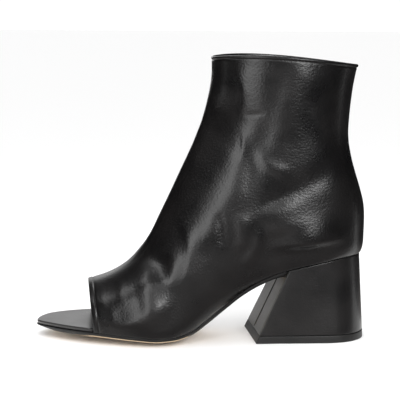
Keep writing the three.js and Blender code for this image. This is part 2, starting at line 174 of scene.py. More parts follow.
# Top of the outsole from the side: 0 at the ball and 1 under the counter
sole_line = table(("at", "rise"), [
    (0.000, 0.036),
    (0.048, 0.050),
    (0.166, 0.047),
    (0.272, 0.023),
    (0.366, 0.000),
    (0.415, 0.011),
    (0.464, 0.067),
    (0.513, 0.198),
    (0.562, 0.362),
    (0.611, 0.530),
    (0.660, 0.668),
    (0.709, 0.771),
    (0.750, 0.832),
    (0.803, 0.888),
    (0.854, 0.934),
    (0.917, 0.984),
    (0.962, 1.000),
    (1.000, 1.000),
])

# Back of the upper from the heel's seam (0) to the collar (1), shares of the length from the toe
back_line = table(("up", "at"), [
    (0.000, 0.9980),
    (0.112, 0.9994),
    (0.171, 1.0000),
    (0.221, 0.9994),
    (0.274, 0.9959),
    (0.328, 0.9882),
    (0.382, 0.9788),
    (0.436, 0.9690),
    (0.489, 0.9600),
    (0.543, 0.9528),
    (0.596, 0.9475),
    (0.649, 0.9455),
    (0.726, 0.9478),
    (0.861, 0.9555),
    (0.945, 0.9637),
    (1.000, 0.9710),
])

# The fan of sections through the upper, from the toe opening to the collar: the point on the front
# ridge, the lean in degrees, the middle to the medial side, the half-width as a share of the size in
# the last column, the way from the ridge to the widest place, the roundness before and behind it,
# the draw-in at the foot and the rise of the collar
fan = table(
    ("ridge_x", "ridge_z", "lean", "centre", "half", "widest", "front", "back", "tuck", "arch", "of"),
    [
        (0.1568, 0.200, 84.4, 0.100, 0.412, 0.106, 2.15, 2.00, 0.20, 0, ball_width),
        (0.2194, 0.227, 84.0, 0.059, 0.480, 0.126, 2.10, 2.00, 0.30, 0, ball_width),
        (0.2724, 0.265, 79.2, 0.034, 0.517, 0.154, 2.05, 2.00, 0.40, 0, ball_width),
        (0.3133, 0.318, 74.0, 0.010, 0.494, 0.184, 2.00, 2.00, 0.55, 0, ball_width),
        (0.3447, 0.379, 68.5, 0.002, 0.455, 0.202, 1.95, 2.00, 0.75, 0, ball_width),
        (0.3745, 0.452, 61.5, 0.000, 0.427, 0.212, 1.95, 2.05, 0.90, 0, ball_width),
        (0.4043, 0.525, 53.8, 0.000, 0.412, 0.222, 1.95, 2.15, 1.00, 0, ball_width),
        (0.4329, 0.597, 46.8, 0.000, 0.405, 0.240, 1.95, 2.25, 1.05, 0, ball_width),
        (0.4549, 0.652, 42.3, 0.000, 0.500, 0.262, 1.95, 2.35, 1.10, 0, ankle_width),
        (0.4733, 0.700, 39.5, 0.000, 0.500, 0.284, 1.95, 2.40, 1.15, 0, ankle_width),
        (0.4859, 0.738, 37.9, 0.000, 0.500, 0.298, 1.95, 2.40, 1.15, 0, ankle_width),
        (0.4953, 0.766, 36.9, 0.000, 0.499, 0.303, 1.95, 2.40, 1.15, 0, ankle_width),
        (0.5039, 0.797, 35.6, 0.000, 0.497, 0.301, 1.95, 2.40, 1.15, 0, ankle_width),
        (0.5129, 0.832, 33.4, 0.000, 0.495, 0.291, 1.95, 2.35, 1.15, 0, ankle_width),
        (0.5198, 0.866, 30.6, 0.000, 0.493, 0.272, 1.97, 2.30, 1.15, 0, ankle_width),
        (0.5251, 0.898, 27.0, 0.000, 0.496, 0.249, 2.00, 2.20, 1.15, 0, ankle_width),
        (0.5284, 0.927, 21.9, 0.000, 0.505, 0.230, 2.05, 2.15, 1.15, 0.2, ankle_width),
        (0.5296, 0.954, 13.8, 0.000, 0.517, 0.220, 2.10, 2.10, 1.15, 0.6, ankle_width),
        (0.5294, 0.984, 2.9, 0.000, 0.496, 0.220, 2.15, 2.10, 1.15, 1, collar_width),
        (0.5308, 1.000, 2.9, 0.000, 0.500, 0.221, 2.15, 2.10, 1.15, 1, collar_width),
    ],
)
fan["half"] = fan["half"] * fan.pop("of")
fan_curves = {name: curve_through(range(collar_row + 1), column) for name, column in fan.items()}


# Outline of the sole and heights along it

def superellipse(t, power):
    return (1 - np.abs(1 - t) ** power) ** (1 / power)


def share_at(x):
    return (x - toe_x) / boot_length


def edge_out(side, at):
    """Distance of the sole's edge from the middle line at a share of the length."""
    at = np.asarray(at, float)
    edge = sole_edges[side]
    tip = side * tip_shift
    toe_part = np.clip(at / edge["at"][0], 0, 1)
    heel_part = np.clip((at - edge["at"][-1]) / (sole_end - edge["at"][-1]), 0, 1)
    toe = tip + (edge["out"][0] - tip) * superellipse(toe_part, toe_powers[side])
    heel = edge["out"][-1] * superellipse(1 - heel_part, heel_power)
    middle = edge_curves[side](at)
    out = np.where(at < edge["at"][0], toe, np.where(at > edge["at"][-1], heel, middle))
    return ball_width * out


def edge_point(side, at, inset):
    """The edge as points of the plan, moved inward at right angles to the outline."""
    at = np.asarray(at, float)
    reach = 1e-4
    before = np.maximum(at - reach, 0)
    after = np.minimum(at + reach, sole_end)
    along_x = boot_length * (after - before)
    along_y = side * (edge_out(side, after) - edge_out(side, before))
    along_x = np.where((at <= 0) | (at >= sole_end), 0, along_x)
    along_y = np.where(at <= 0, side, np.where(at >= sole_end, -side, along_y))
    length = np.hypot(along_x, along_y)
    x = toe_x + boot_length * at + side * inset * along_y / length
    y = side * edge_out(side, at) - side * inset * along_x / length
    return x, y


ball_seat = edge_lift + outsole_thickness
tip_thinning = 0.07
sole_rise = curve_through(sole_line["at"], sole_line["rise"])


def seat_z(x):
    return ball_seat + (heel_height - ball_seat) * sole_rise(share_at(x))


def outsole_edge_z(x):
    full = smoothstep(share_at(x), 0, tip_thinning)
    return seat_z(x) - lerp(outsole_tip_thickness, outsole_thickness, full)


def feather_z(x):
    return seat_z(x) + seam_gap


flat_middle = 0.4
waist_flattening = 0.6
tip_flattening = 0.16


def outsole_bottom_z(x, share):
    beside = np.maximum(0, (np.abs(share) - flat_middle) / (1 - flat_middle))
    waist = smoothstep(share_at(x), sole_edges[LATERAL]["at"][1], sole_edges[LATERAL]["at"][4])
    tip = smoothstep(share_at(x), 0, tip_flattening)
    fullness = tip * (1 - waist_flattening * waist) * (1 - beside ** 2)
    return np.maximum(0, outsole_edge_z(x) - (edge_lift + flat_spot_depth) * fullness)


# Heel: straight sides from the D of the floor up to the seat

heel_back_x = toe_x + boot_length * sole_end + heel_lip
base_held_back = 0.2  # share of the top lift's lip by which the heel's base stays in front of the end
heel_base_back_x = boot_length / 2 - base_held_back * top_lift_lip
breast_top_x = heel_back_x - heel_top_length
breast_foot_x = heel_base_back_x - heel_base_length
breast_lean = (breast_top_x - breast_foot_x) / seat_z(breast_top_x)
round_start = 0.62
breast_width = 0.96
seat_rounds = 20


def heel_point(side, t, height):
    """A point of the heel's side, for t from the breast (0) to the back (1)."""
    top_at = share_at(breast_top_x) + (sole_end - share_at(breast_top_x)) * t
    top_x, top_y = edge_point(side, top_at, -heel_lip)
    round_share = np.maximum(0, (t - round_start) / (1 - round_start))
    swell = lerp(breast_width, 1, smoothstep(t, 0, round_start))
    half = heel_base_width / 2 * swell * superellipse(1 - round_share, heel_power)
    turned = breast_turn if side == MEDIAL else 0  # the breast's medial foot lies further forward
    base_x = breast_foot_x + heel_base_length * t - turned * (1 - t)
    base_y = heel_base_shift + side * half
    share = height / seat_z(top_x)
    return lerp(base_x, top_x, share), lerp(base_y, top_y, share)


def heel_seat(side, t):
    """Height at which the heel's side meets the outsole and the upper."""
    height = np.full(np.shape(t), float(seat_z(breast_top_x)))
    for _ in range(seat_rounds):
        height = seat_z(heel_point(side, t, height)[0])
    return height


# Outer surface of the upper, by row of the fan and by t from -1 at the lateral foot over 0 at the
# ridge to 1 at the medial foot

widest_t = 0.5
tuck_t = 0.8125
foot_slope = 0.5
fine_part = 1.3
arch_power = 0.75
back_at = curve_through(back_line["up"], back_line["at"])


def back_x(z):
    seam = float(feather_z(boot_length / 2))
    return toe_x + boot_length * back_at((z - seam) / (collar_back_height - seam))


def sections(rows):
    """The sections at these rows, with the feet found by halving the stretch of each line."""
    values = {name: curve(rows) for name, curve in fan_curves.items()}
    lean = np.radians(values["lean"])
    values["x"] = toe_x + boot_length * values["ridge_x"]
    values["z"] = boot_height * values["ridge_z"]
    values["down_x"] = np.cos(lean)
    values["down_z"] = -np.sin(lean)
    near = np.zeros(np.shape(rows))
    far = np.full(np.shape(rows), 2.0 * boot_length)
    for _ in range(halvings):
        half = (near + far) / 2
        x = values["x"] + values["down_x"] * half
        z = values["z"] + values["down_z"] * half
        inside = (z > feather_z(x)) & (x < back_x(z))
        near = np.where(inside, half, near)
        far = np.where(inside, far, half)
    values["length"] = near
    values["foot_x"] = values["x"] + values["down_x"] * near
    values["foot_z"] = values["z"] + values["down_z"] * near
    to_sole = values["foot_z"] - feather_z(values["foot_x"])
    to_back = back_x(values["foot_z"]) - values["foot_x"]
    values["on_sole"] = to_sole < to_back
    return values


def find_corner_row():
    """Row of the fan whose foot is the back corner of the seat."""
    low = 0.0
    high = float(collar_row)
    for _ in range(halvings):
        middle = (low + high) / 2
        if sections(np.array([middle]))["on_sole"][0]:
            low = middle
        else:
            high = middle
    return high


corner_row = find_corner_row()
opening_x = float(sections(np.array([0.0]))["foot_x"][0])


def plain_out(side, x, offset):
    """The sole's edge moved outward, where the upper would stand if it were not drawn in."""
    edge = sole_edges[side]
    start = toe_x + boot_length * edge["at"][-1]
    run = toe_x + boot_length * sole_end + offset - start
    behind = np.clip((x - start) / run, 0, 1)
    heel = (ball_width * edge["out"][-1] + offset) * superellipse(1 - behind, heel_power)
    return np.where(x < start, edge_out(side, share_at(x)) + offset, heel)


def plain_point(rows, t):
    """Points before the foot is drawn in, for arrays of rows and of t that broadcast together."""
    rows = np.asarray(rows, float)
    s = {name: value[:, None] for name, value in sections(rows[:, 0]).items()}
    centre_y = ball_width * s["centre"]
    offset = feather_reach + tuck_depth * s["tuck"]
    widest = boot_length * s["widest"]
    widest_x = s["x"] + s["down_x"] * widest
    widest_z = s["z"] + s["down_z"] * widest
    widest_height = widest_z - feather_z(widest_x)
    seat_end_x = toe_x + boot_length * sole_end + offset
    a = np.abs(t)
    angle = math.pi / 2 * np.clip(a / widest_t, 0, 1)
    before = widest * (1 - np.cos(angle) ** (2 / s["front"]))
    fine = np.maximum(s["length"] - fine_part * tuck_radius, (widest + s["length"]) / 2)
    left = (1 - a) / (1 - tuck_t)
    middle = lerp(widest, fine, (a - widest_t) / (tuck_t - widest_t))
    behind = np.where(a <= tuck_t, middle, lerp(s["length"], fine, left ** 2))
    distance = np.where(a <= widest_t, before, behind)
    x = s["x"] + s["down_x"] * distance
    z = s["z"] + s["down_z"] * distance

    def back_share(px, pz):
        return np.minimum((px - widest_x) / (back_x(pz) - widest_x), 1)

    def sole_half(side, px, pz):
        out = plain_out(side, lerp(widest_x, seat_end_x, back_share(px, pz)), offset)
        return np.maximum(0, out - side * centre_y)

    out = np.zeros(x.shape)
    for side in (LATERAL, MEDIAL):
        here = (t >= 0) if side == MEDIAL else (t < 0)
        wide = np.maximum(s["half"], sole_half(side, s["foot_x"], s["foot_z"]) + least_bulge)
        rounded = wide * np.sin(angle) ** (2 / s["front"])
        height = np.clip((z - feather_z(x)) / widest_height, 0, 1)
        share = np.clip(back_share(x, z), 0, 1)
        body = wide * (1 - share ** s["back"]) ** (1 / s["back"])
        narrowed = lerp(sole_half(side, x, z), body, 1 - (1 - height) ** 2)
        value = centre_y + side * np.where(a <= widest_t, rounded, narrowed)
        out = np.where(here, value, out)
    share = distance / s["length"]
    arch = s["arch"] * collar_arch * np.sin(math.pi * np.clip(share, 0, 1) ** arch_power)
    return np.stack([x - s["down_z"] * arch, out, z + s["down_x"] * arch], axis=-1)


def unit(vectors):
    return vectors / np.maximum(np.linalg.norm(vectors, axis=-1, keepdims=True), 1e-3 * tiny)


def plain_normal(rows, t):
    reach = 0.02
    along = plain_point(np.minimum(rows + reach, collar_row), t)
    along = along - plain_point(np.maximum(rows - reach, 0), t)
    around = plain_point(rows, np.minimum(t + reach, 1)) - plain_point(rows, np.maximum(t - reach, -1))
    return unit(np.cross(along, around))


def at_foot(t):
    return np.abs(t) >= 1 - tiny


def over_sole(rows):
    return rows <= corner_row + tiny


def closed_behind(rows):
    """Whether the two feet of a row meet in the middle of the back."""
    return rows >= corner_row - tiny


def drawn_surface(rows, t):
    """The outer surface with its foot drawn in, and its normals."""
    point = plain_point(rows, t)
    normal = plain_normal(rows, t)
    closing = at_foot(t) & closed_behind(rows)
    normal = np.where(closing[..., None], unit(normal + plain_normal(rows, -t)), normal)
    height = np.clip((point[..., 2] - feather_z(point[..., 0])) / tuck_radius, 0, 1)
    drawn = np.where(at_foot(t) & over_sole(rows), 1, 1 - np.sqrt(1 - (1 - height) ** 2))
    inward = -normal * np.array([1, 1, 0])
    depth = tuck_depth * fan_curves["tuck"](rows) * drawn
    point = point + unit(inward) * depth[..., None]
    return point, normal


def settle(point, rows, t):
    """Keeps the foot flat over the sole and closes the upper along the middle of the back."""
    floor = feather_z(point[..., 0])
    least = floor + foot_slope * tuck_radius * (1 - np.abs(t))
    raised = np.where(at_foot(t), floor, np.maximum(point[..., 2], least))
    point[..., 2] = np.where(over_sole(rows), raised, point[..., 2])
    point[..., 1] = np.where(at_foot(t) & closed_behind(rows), 0, point[..., 1])
    return point


# Creases of the worn leather. Each one follows a path of the side view, given in shares of the
# length from the toe and of the height. rise is in millimetres, below 0 for a trough. left and right
# are how far it spreads on either hand, in millimetres, for someone who walks the path in a side view
# with the toe on the left. fade is the share of the path over which each of its ends comes up.

creases = [
    # side, rise, left, right, fade, path
    # soft fold down the middle of the shaft
    (LATERAL, 0.9, 16, 11, 0.25,
     [(0.818, 0.993), (0.784, 0.931), (0.755, 0.884), (0.727, 0.829), (0.705, 0.780), (0.685, 0.732)]),
    # trough in front of it, down to the instep
    (LATERAL, -1.0, 8, 8, 0.2,
     [(0.732, 0.989), (0.711, 0.890), (0.701, 0.839), (0.688, 0.780), (0.671, 0.728), (0.654, 0.676),
      (0.640, 0.621), (0.625, 0.566), (0.610, 0.511)]),
    # narrow slot behind the front of the shaft
    (LATERAL, -0.6, 1.8, 2.4, 0.4,
     [(0.592, 0.936), (0.600, 0.867), (0.596, 0.805)]),
    # thin ridge over the bend of the ankle
    (LATERAL, 0.35, 3, 1.4, 0.4,
     [(0.611, 0.758), (0.611, 0.699), (0.608, 0.662), (0.602, 0.627)]),
    # small crescent beside it
    (LATERAL, 0.8, 5, 5, 0.35,
     [(0.665, 0.718), (0.660, 0.683), (0.669, 0.649), (0.692, 0.625), (0.730, 0.612), (0.769, 0.611)]),
    # sharp crease from the bend towards the counter
    (LATERAL, -1.2, 9, 8, 0.3,
     [(0.628, 0.449), (0.657, 0.473), (0.687, 0.494), (0.725, 0.520), (0.770, 0.547), (0.815, 0.573),
      (0.858, 0.599), (0.911, 0.637)]),
    # full counter under it, down to the edge of its stiffener
    (LATERAL, 4.6, 18, 4.2, 0.5,
     [(0.668, 0.346), (0.737, 0.354), (0.812, 0.362), (0.886, 0.370), (0.946, 0.382)]),
    # swell in front of the counter
    (LATERAL, 1.3, 16, 12, 0.35,
     [(0.696, 0.511), (0.714, 0.459), (0.730, 0.377)]),
    # upright crease over the instep
    (LATERAL, -0.7, 3.0, 4, 0.3,
     [(0.540, 0.483), (0.547, 0.435), (0.550, 0.387), (0.550, 0.338)]),
    # long fold from the ankle down over the instep
    (LATERAL, 1.1, 9, 10, 0.25,
     [(0.620, 0.682), (0.605, 0.624), (0.590, 0.559), (0.560, 0.497), (0.531, 0.435), (0.507, 0.373),
      (0.492, 0.318)]),
    # round fold behind the upright crease
    (LATERAL, 1.2, 7, 5, 0.3,
     [(0.590, 0.470), (0.610, 0.407), (0.609, 0.323)]),
    # short bow behind it
    (LATERAL, 1.1, 4, 4, 0.3,
     [(0.655, 0.424), (0.656, 0.372), (0.636, 0.315), (0.607, 0.265)]),
    # long hollow behind the front ridge
    (LATERAL, -3.0, 15, 9, 0.15,
     [(0.563, 0.907), (0.539, 0.816), (0.510, 0.711), (0.472, 0.617), (0.430, 0.529), (0.397, 0.443),
      (0.366, 0.364), (0.345, 0.310), (0.317, 0.257), (0.299, 0.213)]),
    # slanting fold towards the ball
    (LATERAL, 0.8, 8, 6, 0.3,
     [(0.400, 0.159), (0.344, 0.131), (0.303, 0.092), (0.259, 0.065)]),
    # hollow above it
    (LATERAL, -0.6, 6, 6, 0.3,
     [(0.335, 0.177), (0.294, 0.153), (0.254, 0.127), (0.213, 0.110)]),
    # soft ridge at the toe opening
    (LATERAL, 0.4, 3, 3, 0.3,
     [(0.197, 0.202), (0.199, 0.171), (0.201, 0.125)]),
    # soft ridge behind it
    (LATERAL, 0.4, 3, 3, 0.3,
     [(0.254, 0.231), (0.252, 0.195), (0.254, 0.147)]),
    # small bulge over the feather edge
    (LATERAL, 1.0, 3.0, 2.5, 0.3,
     [(0.326, 0.057), (0.364, 0.048), (0.409, 0.057)]),
    # fold below it with a steep front
    (LATERAL, 0.9, 10, 4.5, 0.3,
     [(0.431, 0.464), (0.447, 0.398), (0.456, 0.338), (0.455, 0.284), (0.436, 0.223), (0.412, 0.182)]),
    # low ridge in the wedge
    (LATERAL, 0.65, 8, 5, 0.3,
     [(0.406, 0.349), (0.409, 0.296), (0.404, 0.243), (0.386, 0.196)]),
    # trough at the end of the hollow
    (LATERAL, -0.8, 6, 7, 0.35,
     [(0.363, 0.331), (0.365, 0.281), (0.365, 0.223)]),
    # lobe on the vamp
    (LATERAL, 0.6, 8, 4.5, 0.35,
     [(0.333, 0.296), (0.328, 0.250), (0.327, 0.196)]),
    # bulge over the feather edge at the toe
    (LATERAL, 0.8, 4.5, 2, 0.3,
     [(0.181, 0.063), (0.233, 0.066), (0.297, 0.076)]),
    # front fold of the shaft
    (LATERAL, 0.8, 9, 3.2, 0.3,
     [(0.594, 0.987), (0.598, 0.922), (0.605, 0.854), (0.611, 0.778)]),
    # level crease across it
    (LATERAL, -0.45, 1.7, 1.7, 0.4,
     [(0.608, 0.799), (0.642, 0.805), (0.681, 0.811)]),
    # medial side, which the photograph hides: the same kinds of creases, a little calmer
    # soft fold down the middle of the shaft
    (MEDIAL, 0.9, 16, 14, 0.3,
     [(0.800, 0.985), (0.772, 0.930), (0.748, 0.862), (0.722, 0.800), (0.706, 0.745)]),
    # trough in front of it
    (MEDIAL, -0.8, 8, 7, 0.25,
     [(0.715, 0.960), (0.700, 0.880), (0.684, 0.800), (0.668, 0.720), (0.650, 0.645), (0.628, 0.570)]),
    # crease round the bend of the ankle
    (MEDIAL, -0.9, 5, 4, 0.35,
     [(0.565, 0.650), (0.605, 0.625), (0.650, 0.600), (0.700, 0.592), (0.750, 0.612)]),
    # small fold under it
    (MEDIAL, 0.7, 5, 5, 0.35,
     [(0.590, 0.600), (0.640, 0.565), (0.700, 0.550)]),
    # sharp crease from the bend towards the counter
    (MEDIAL, -1.2, 8, 7, 0.3,
     [(0.640, 0.455), (0.690, 0.490), (0.745, 0.525), (0.800, 0.560), (0.870, 0.600)]),
    # full counter under it
    (MEDIAL, 3.2, 18, 6, 0.5,
     [(0.680, 0.365), (0.740, 0.375), (0.815, 0.383), (0.880, 0.385), (0.940, 0.400)]),
    # long fold from the ankle down over the instep
    (MEDIAL, 1.0, 8, 9, 0.25,
     [(0.610, 0.660), (0.590, 0.590), (0.562, 0.520), (0.535, 0.455), (0.505, 0.385), (0.480, 0.320)]),
    # upright crease over the instep
    (MEDIAL, -0.6, 2.2, 4, 0.3,
     [(0.530, 0.470), (0.520, 0.420), (0.515, 0.360)]),
    # fold below it with a steep front
    (MEDIAL, 0.8, 9, 5, 0.3,
     [(0.440, 0.420), (0.452, 0.360), (0.450, 0.300), (0.425, 0.250)]),
    # low ridge in the wedge
    (MEDIAL, 0.5, 7, 5, 0.3,
     [(0.395, 0.340), (0.405, 0.290), (0.395, 0.235)]),
    # long hollow behind the front ridge
    (MEDIAL, -2.0, 14, 9, 0.15,
     [(0.548, 0.840), (0.515, 0.740), (0.480, 0.640), (0.440, 0.550), (0.400, 0.460), (0.360, 0.370),
      (0.325, 0.300)]),
    # hollow along the arch
    (MEDIAL, -0.8, 8, 8, 0.35,
     [(0.440, 0.170), (0.490, 0.215), (0.540, 0.265), (0.590, 0.305)]),
    # soft ridge at the toe opening
    (MEDIAL, 0.4, 3, 3, 0.3,
     [(0.205, 0.205), (0.207, 0.170), (0.210, 0.125)]),
]


path_steps = 10  # from each point of a path to the next
crease_reach = 3  # how many times its spread a crease reaches
over_middle = (-3, 9)  # across the middle line the creases of a side come up, in millimetres
over_feather = (2, 12)  # and over the feather edge
sharp_slope = 3  # times rise over spread: how worked the leather of a crease is
worked_narrowing = 3  # power that keeps the worn leather near the middle of a crease

seam_depth = 0.45
seam_width = 0.5
seam_before_back = (-8, -5)
seam_under_collar = (3.0, 4.0)


def along_path(path):
    """A finer line through the points of a path, in millimetres of the side view."""
    points = np.array(path, float)
    at = np.arange(len(points))
    fine = np.linspace(0, len(points) - 1, path_steps * (len(points) - 1) + 1)
    x = toe_x + boot_length * curve_through(at, points[:, 0])(fine)
    z = boot_height * curve_through(at, points[:, 1])(fine)
    return x, z


def crease_height(path, left, right, fade, x, z):
    """Share of the full rise at each point beside one path: 1 on it and 0 away from it."""
    px, pz = along_path(path)
    reach = crease_reach * max(left, right)
    near = (x > px.min() - reach) & (x < px.max() + reach)
    near &= (z > pz.min() - reach) & (z < pz.max() + reach)
    share = np.zeros(x.shape)
    if not near.any():
        return share
    nx = x[near]
    nz = z[near]
    best = np.full(nx.shape, np.inf)
    away = np.zeros(nx.shape)
    way = np.zeros(nx.shape)
    lengths = np.hypot(np.diff(px), np.diff(pz))
    walked = np.concatenate([[0], np.cumsum(lengths)])
    for i, length in enumerate(lengths):
        ax = (px[i + 1] - px[i]) / length
        az = (pz[i + 1] - pz[i]) / length
        along = (nx - px[i]) * ax + (nz - pz[i]) * az
        held = np.clip(along, 0, length)
        off_x = nx - px[i] - ax * held
        off_z = nz - pz[i] - az * held
        gap = np.hypot(off_x, off_z)
        closer = gap < best
        best = np.where(closer, gap, best)
        side = ax * off_z - az * off_x
        away = np.where(closer, side, away)
        way = np.where(closer, (walked[i] + held) / walked[-1], way)
    spread = np.where(away > 0, left, right)
    ends = smoothstep(way, 0, fade) * smoothstep(1 - way, 0, fade)
    share[near] = np.exp(-(best / spread) ** 2) * ends
    return share


def crease_relief(point):
    """How far the creases lift the leather at each point, and how worked the leather is there."""
    x = point[..., 0]
    y = point[..., 1]
    z = point[..., 2]
    lift = np.zeros(x.shape)
    worked = np.zeros(x.shape)
    for side, rise, left, right, fade, path in creases:
        share = crease_height(path, left, right, fade, x, z)
        share = share * smoothstep(side * y, *over_middle)
        lift += rise * share
        sharpness = min(1, sharp_slope * abs(rise) / (left + right))
        worked = np.maximum(worked, share ** worked_narrowing * sharpness)
    held = smoothstep(z - feather_z(x), *over_feather)
    return lift * held - back_seam(x, y, z), worked * held


def back_seam(x, y, z):
    """Depth of the closed seam up the middle of the back, from over the heel to the collar's band."""
    at_back = smoothstep(x - back_x(z), *seam_before_back)
    below_band = smoothstep(collar_back_height - z, *seam_under_collar)
    across = np.exp(-(y / seam_width) ** 2)
    return seam_depth * across * at_back * below_band


def wall_point(rows, t, offset):
    """Points of the upper's wall, offset outward from the drawn surface, creases included."""
    point, normal = drawn_surface(rows, t)
    lift, worked = crease_relief(point)
    moved = point + normal * (offset + lift)[..., None]
    return settle(moved, rows, t), worked


# Steps of the upper's surfaces: even ones over the body, and finer ones at the two rims

toe_row_depth = boot_length * (fan["ridge_x"][1] - fan["ridge_x"][0])
collar_row_depth = boot_height * (fan["ridge_z"][collar_row] - fan["ridge_z"][collar_band_row])

trial_rows = 121
trial_places = 241
trial_sections = 25
tried_t = (-0.9, -0.65, -0.5, -0.25, 0.0)
least_row_step = 1e-6
least_place_step = 0.0008
seam_room = 1.5  # even places nearer to the back than this times the seam's first place are left out


def even_rows(start, end, count):
    """Rows that lie about equally far apart over the surface."""
    trial = np.linspace(start, end, trial_rows)
    points = plain_point(trial[:, None], np.array([tried_t]))
    steps = np.linalg.norm(np.diff(points, axis=0), axis=-1).mean(axis=1) + least_row_step
    way = np.concatenate([[0], np.cumsum(steps)])
    return np.interp(np.linspace(0, way[-1], count + 1), way, trial)


def even_t(count, seam=()):
    """Places round the sections, about equally far apart on an average one. seam are extra places
    before the middle of the back, for its seam."""
    trial = np.linspace(0, 1, trial_places)
    rows = np.linspace(0.5, collar_row - 0.5, trial_sections)[:, None]
    points = plain_point(rows, -trial[None, :])
    steps = np.linalg.norm(np.diff(points, axis=1), axis=-1)
    steps = (steps / steps.sum(axis=1, keepdims=True)).mean(axis=0) + least_place_step
    way = np.concatenate([[0], np.cumsum(steps)])
    half = np.interp(np.linspace(0, way[-1], count + 1), way, trial)
    half[0] = 0
    half[-1] = 1
    if seam:
        clear = half[half < 1 - seam_room * seam[0]]
        half = np.concatenate([clear, 1 - np.array(seam), [1]])
        if len(half) % 2 == 0:
            half = np.delete(half, 1)
    return np.concatenate([-half[::-1], half[1:]])


def mesh_piece(name, points, faces, material, attributes=None):
    """Makes a piece of the boot from points in millimetres and rides it on the boot."""
    moved = (np.asarray(points, float) - [0, middle_shift, 0]) / mm_per_metre
    mesh = bpy.data.meshes.new(name)
    mesh.from_pydata(moved.tolist(), [], faces)
    mesh.materials.append(material)
    for label, values in (attributes or {}).items():
        layer = mesh.attributes.new(label, "FLOAT", "POINT")
        layer.data.foreach_set("value", np.asarray(values, dtype=np.float32))
    mesh.update()
    mesh.shade_smooth()
    piece = bpy.data.objects.new(name, mesh)
    bpy.context.collection.objects.link(piece)
    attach(piece, "root")
    return piece


def strip_faces(a, b):
    """Quads between two rows of point numbers."""
    return [[int(a[i]), int(b[i]), int(b[i + 1]), int(a[i + 1])] for i in range(len(a) - 1)]


def stepped_strip(fine, coarse):
    """Faces between a fine row of point numbers and one with half as many steps."""
    faces = []
    for i in range(len(coarse) - 1):
        face = (fine[2 * i], coarse[i], coarse[i + 1], fine[2 * i + 2], fine[2 * i + 1])
        faces.append([int(number) for number in face])
    return faces


def only_used(points, faces):
    """Leaves out the points that no face uses."""
    used = np.zeros(len(points), bool)
    for face in faces:
        used[face] = True
    kept = np.flatnonzero(used)
    new = np.full(len(points), -1)
    new[kept] = np.arange(len(kept))
    faces = [new[face].tolist() for face in faces]
    return points[kept], faces, kept


def wall_piece(name, rows, t, outer, inner, material):
    """A closed shell between two offsets of the upper's surface. The inner side has half the steps.
    outer and inner are offsets by row. The two sides join at the rims and along the feather edge."""
    grid_rows = np.repeat(rows[:, None], len(t), axis=1)
    grid_t = np.repeat(t[None, :], len(rows), axis=0)
    outside, worked = wall_point(grid_rows, grid_t, np.repeat(outer[:, None], len(t), axis=1))
    in_rows = grid_rows[::2, ::2]
    in_t = grid_t[::2, ::2]
    in_offset = np.repeat(inner[::2, None], in_t.shape[1], axis=1)
    inside, in_worked = wall_point(in_rows, in_t, in_offset)
    numbers = np.arange(outside[..., 0].size).reshape(outside.shape[:2])
    in_numbers = numbers.size + np.arange(inside[..., 0].size).reshape(inside.shape[:2])
    closed = closed_behind(rows)
    numbers[closed, -1] = numbers[closed, 0]
    in_numbers[closed[::2], -1] = in_numbers[closed[::2], 0]
    faces = []
    for i in range(len(rows) - 1):
        faces += strip_faces(numbers[i], numbers[i + 1])
    for i in range(len(in_numbers) - 1):
        faces += strip_faces(in_numbers[i + 1], in_numbers[i])
    faces += [face[::-1] for face in stepped_strip(numbers[0], in_numbers[0])]
    faces += stepped_strip(numbers[-1], in_numbers[-1])
    open_count = int((~closed[::2]).sum())
    first = numbers[:2 * open_count + 1, 0]
    last = numbers[:2 * open_count + 1, -1]
    faces += stepped_strip(first, in_numbers[:open_count + 1, 0])
    faces += [face[::-1] for face in stepped_strip(last, in_numbers[:open_count + 1, -1])]
    points = np.concatenate([outside.reshape(-1, 3), inside.reshape(-1, 3)])
    rubbed = np.concatenate([worked.ravel(), in_worked.ravel()])
    points, faces, kept = only_used(points, faces)
    return mesh_piece(name, points, faces, material, {"worked": rubbed[kept]})


# Materials

def node(tree, kind, inputs=None, **settings):
    """A shader node with its settings, its inputs set or linked."""
    made = tree.nodes.new(kind)
    for name, value in settings.items():
        setattr(made, name, value)
    for name, value in (inputs or {}).items():
        if isinstance(value, bpy.types.NodeSocket):
            tree.links.new(value, made.inputs[name])
        else:
            made.inputs[name].default_value = value
    return made


def maths(tree, operation, a, b=0.0, c=0.0):
    return node(tree, "ShaderNodeMath", {0: a, 1: b, 2: c}, operation=operation).outputs[0]


def mix_colours(tree, factor, first, second):
    made = node(tree, "ShaderNodeMix", {0: factor, 6: first, 7: second}, data_type="RGBA")
    return made.outputs[2]


def map_range(tree, value, low, high, to_low=0.0, to_high=1.0, kind="LINEAR"):
    """Takes a value from one range to another and holds it inside that one."""
    inputs = {0: value, 1: low, 2: high, 3: to_low, 4: to_high}
    return node(tree, "ShaderNodeMapRange", inputs, interpolation_type=kind).outputs[0]


def smooth_range(tree, value, low, high, to_low=0.0, to_high=1.0):
    return map_range(tree, value, low, high, to_low, to_high, "SMOOTHSTEP")


def blend(tree, share, first, second):
    """A number between two others, by a mask from 0 to 1."""
    return map_range(tree, share, 0.0, 1.0, first, second)


def vector_maths(tree, operation, a, b):
    return node(tree, "ShaderNodeVectorMath", {0: a, 1: b}, operation=operation).outputs[0]


def separated(tree, vector):
    return node(tree, "ShaderNodeSeparateXYZ", {0: vector}).outputs


def noise(tree, place, scale, detail):
    inputs = {"Vector": place, "Scale": scale, "Detail": detail}
    return node(tree, "ShaderNodeTexNoise", inputs).outputs[0]


def layered_noise(tree, position, scales, detail):
    """Noise stretched along the sides of the boot. scales are its scales along x, y and z."""
    place = node(tree, "ShaderNodeMapping", {"Vector": position, "Scale": scales}).outputs[0]
    return noise(tree, place, 1.0, detail)


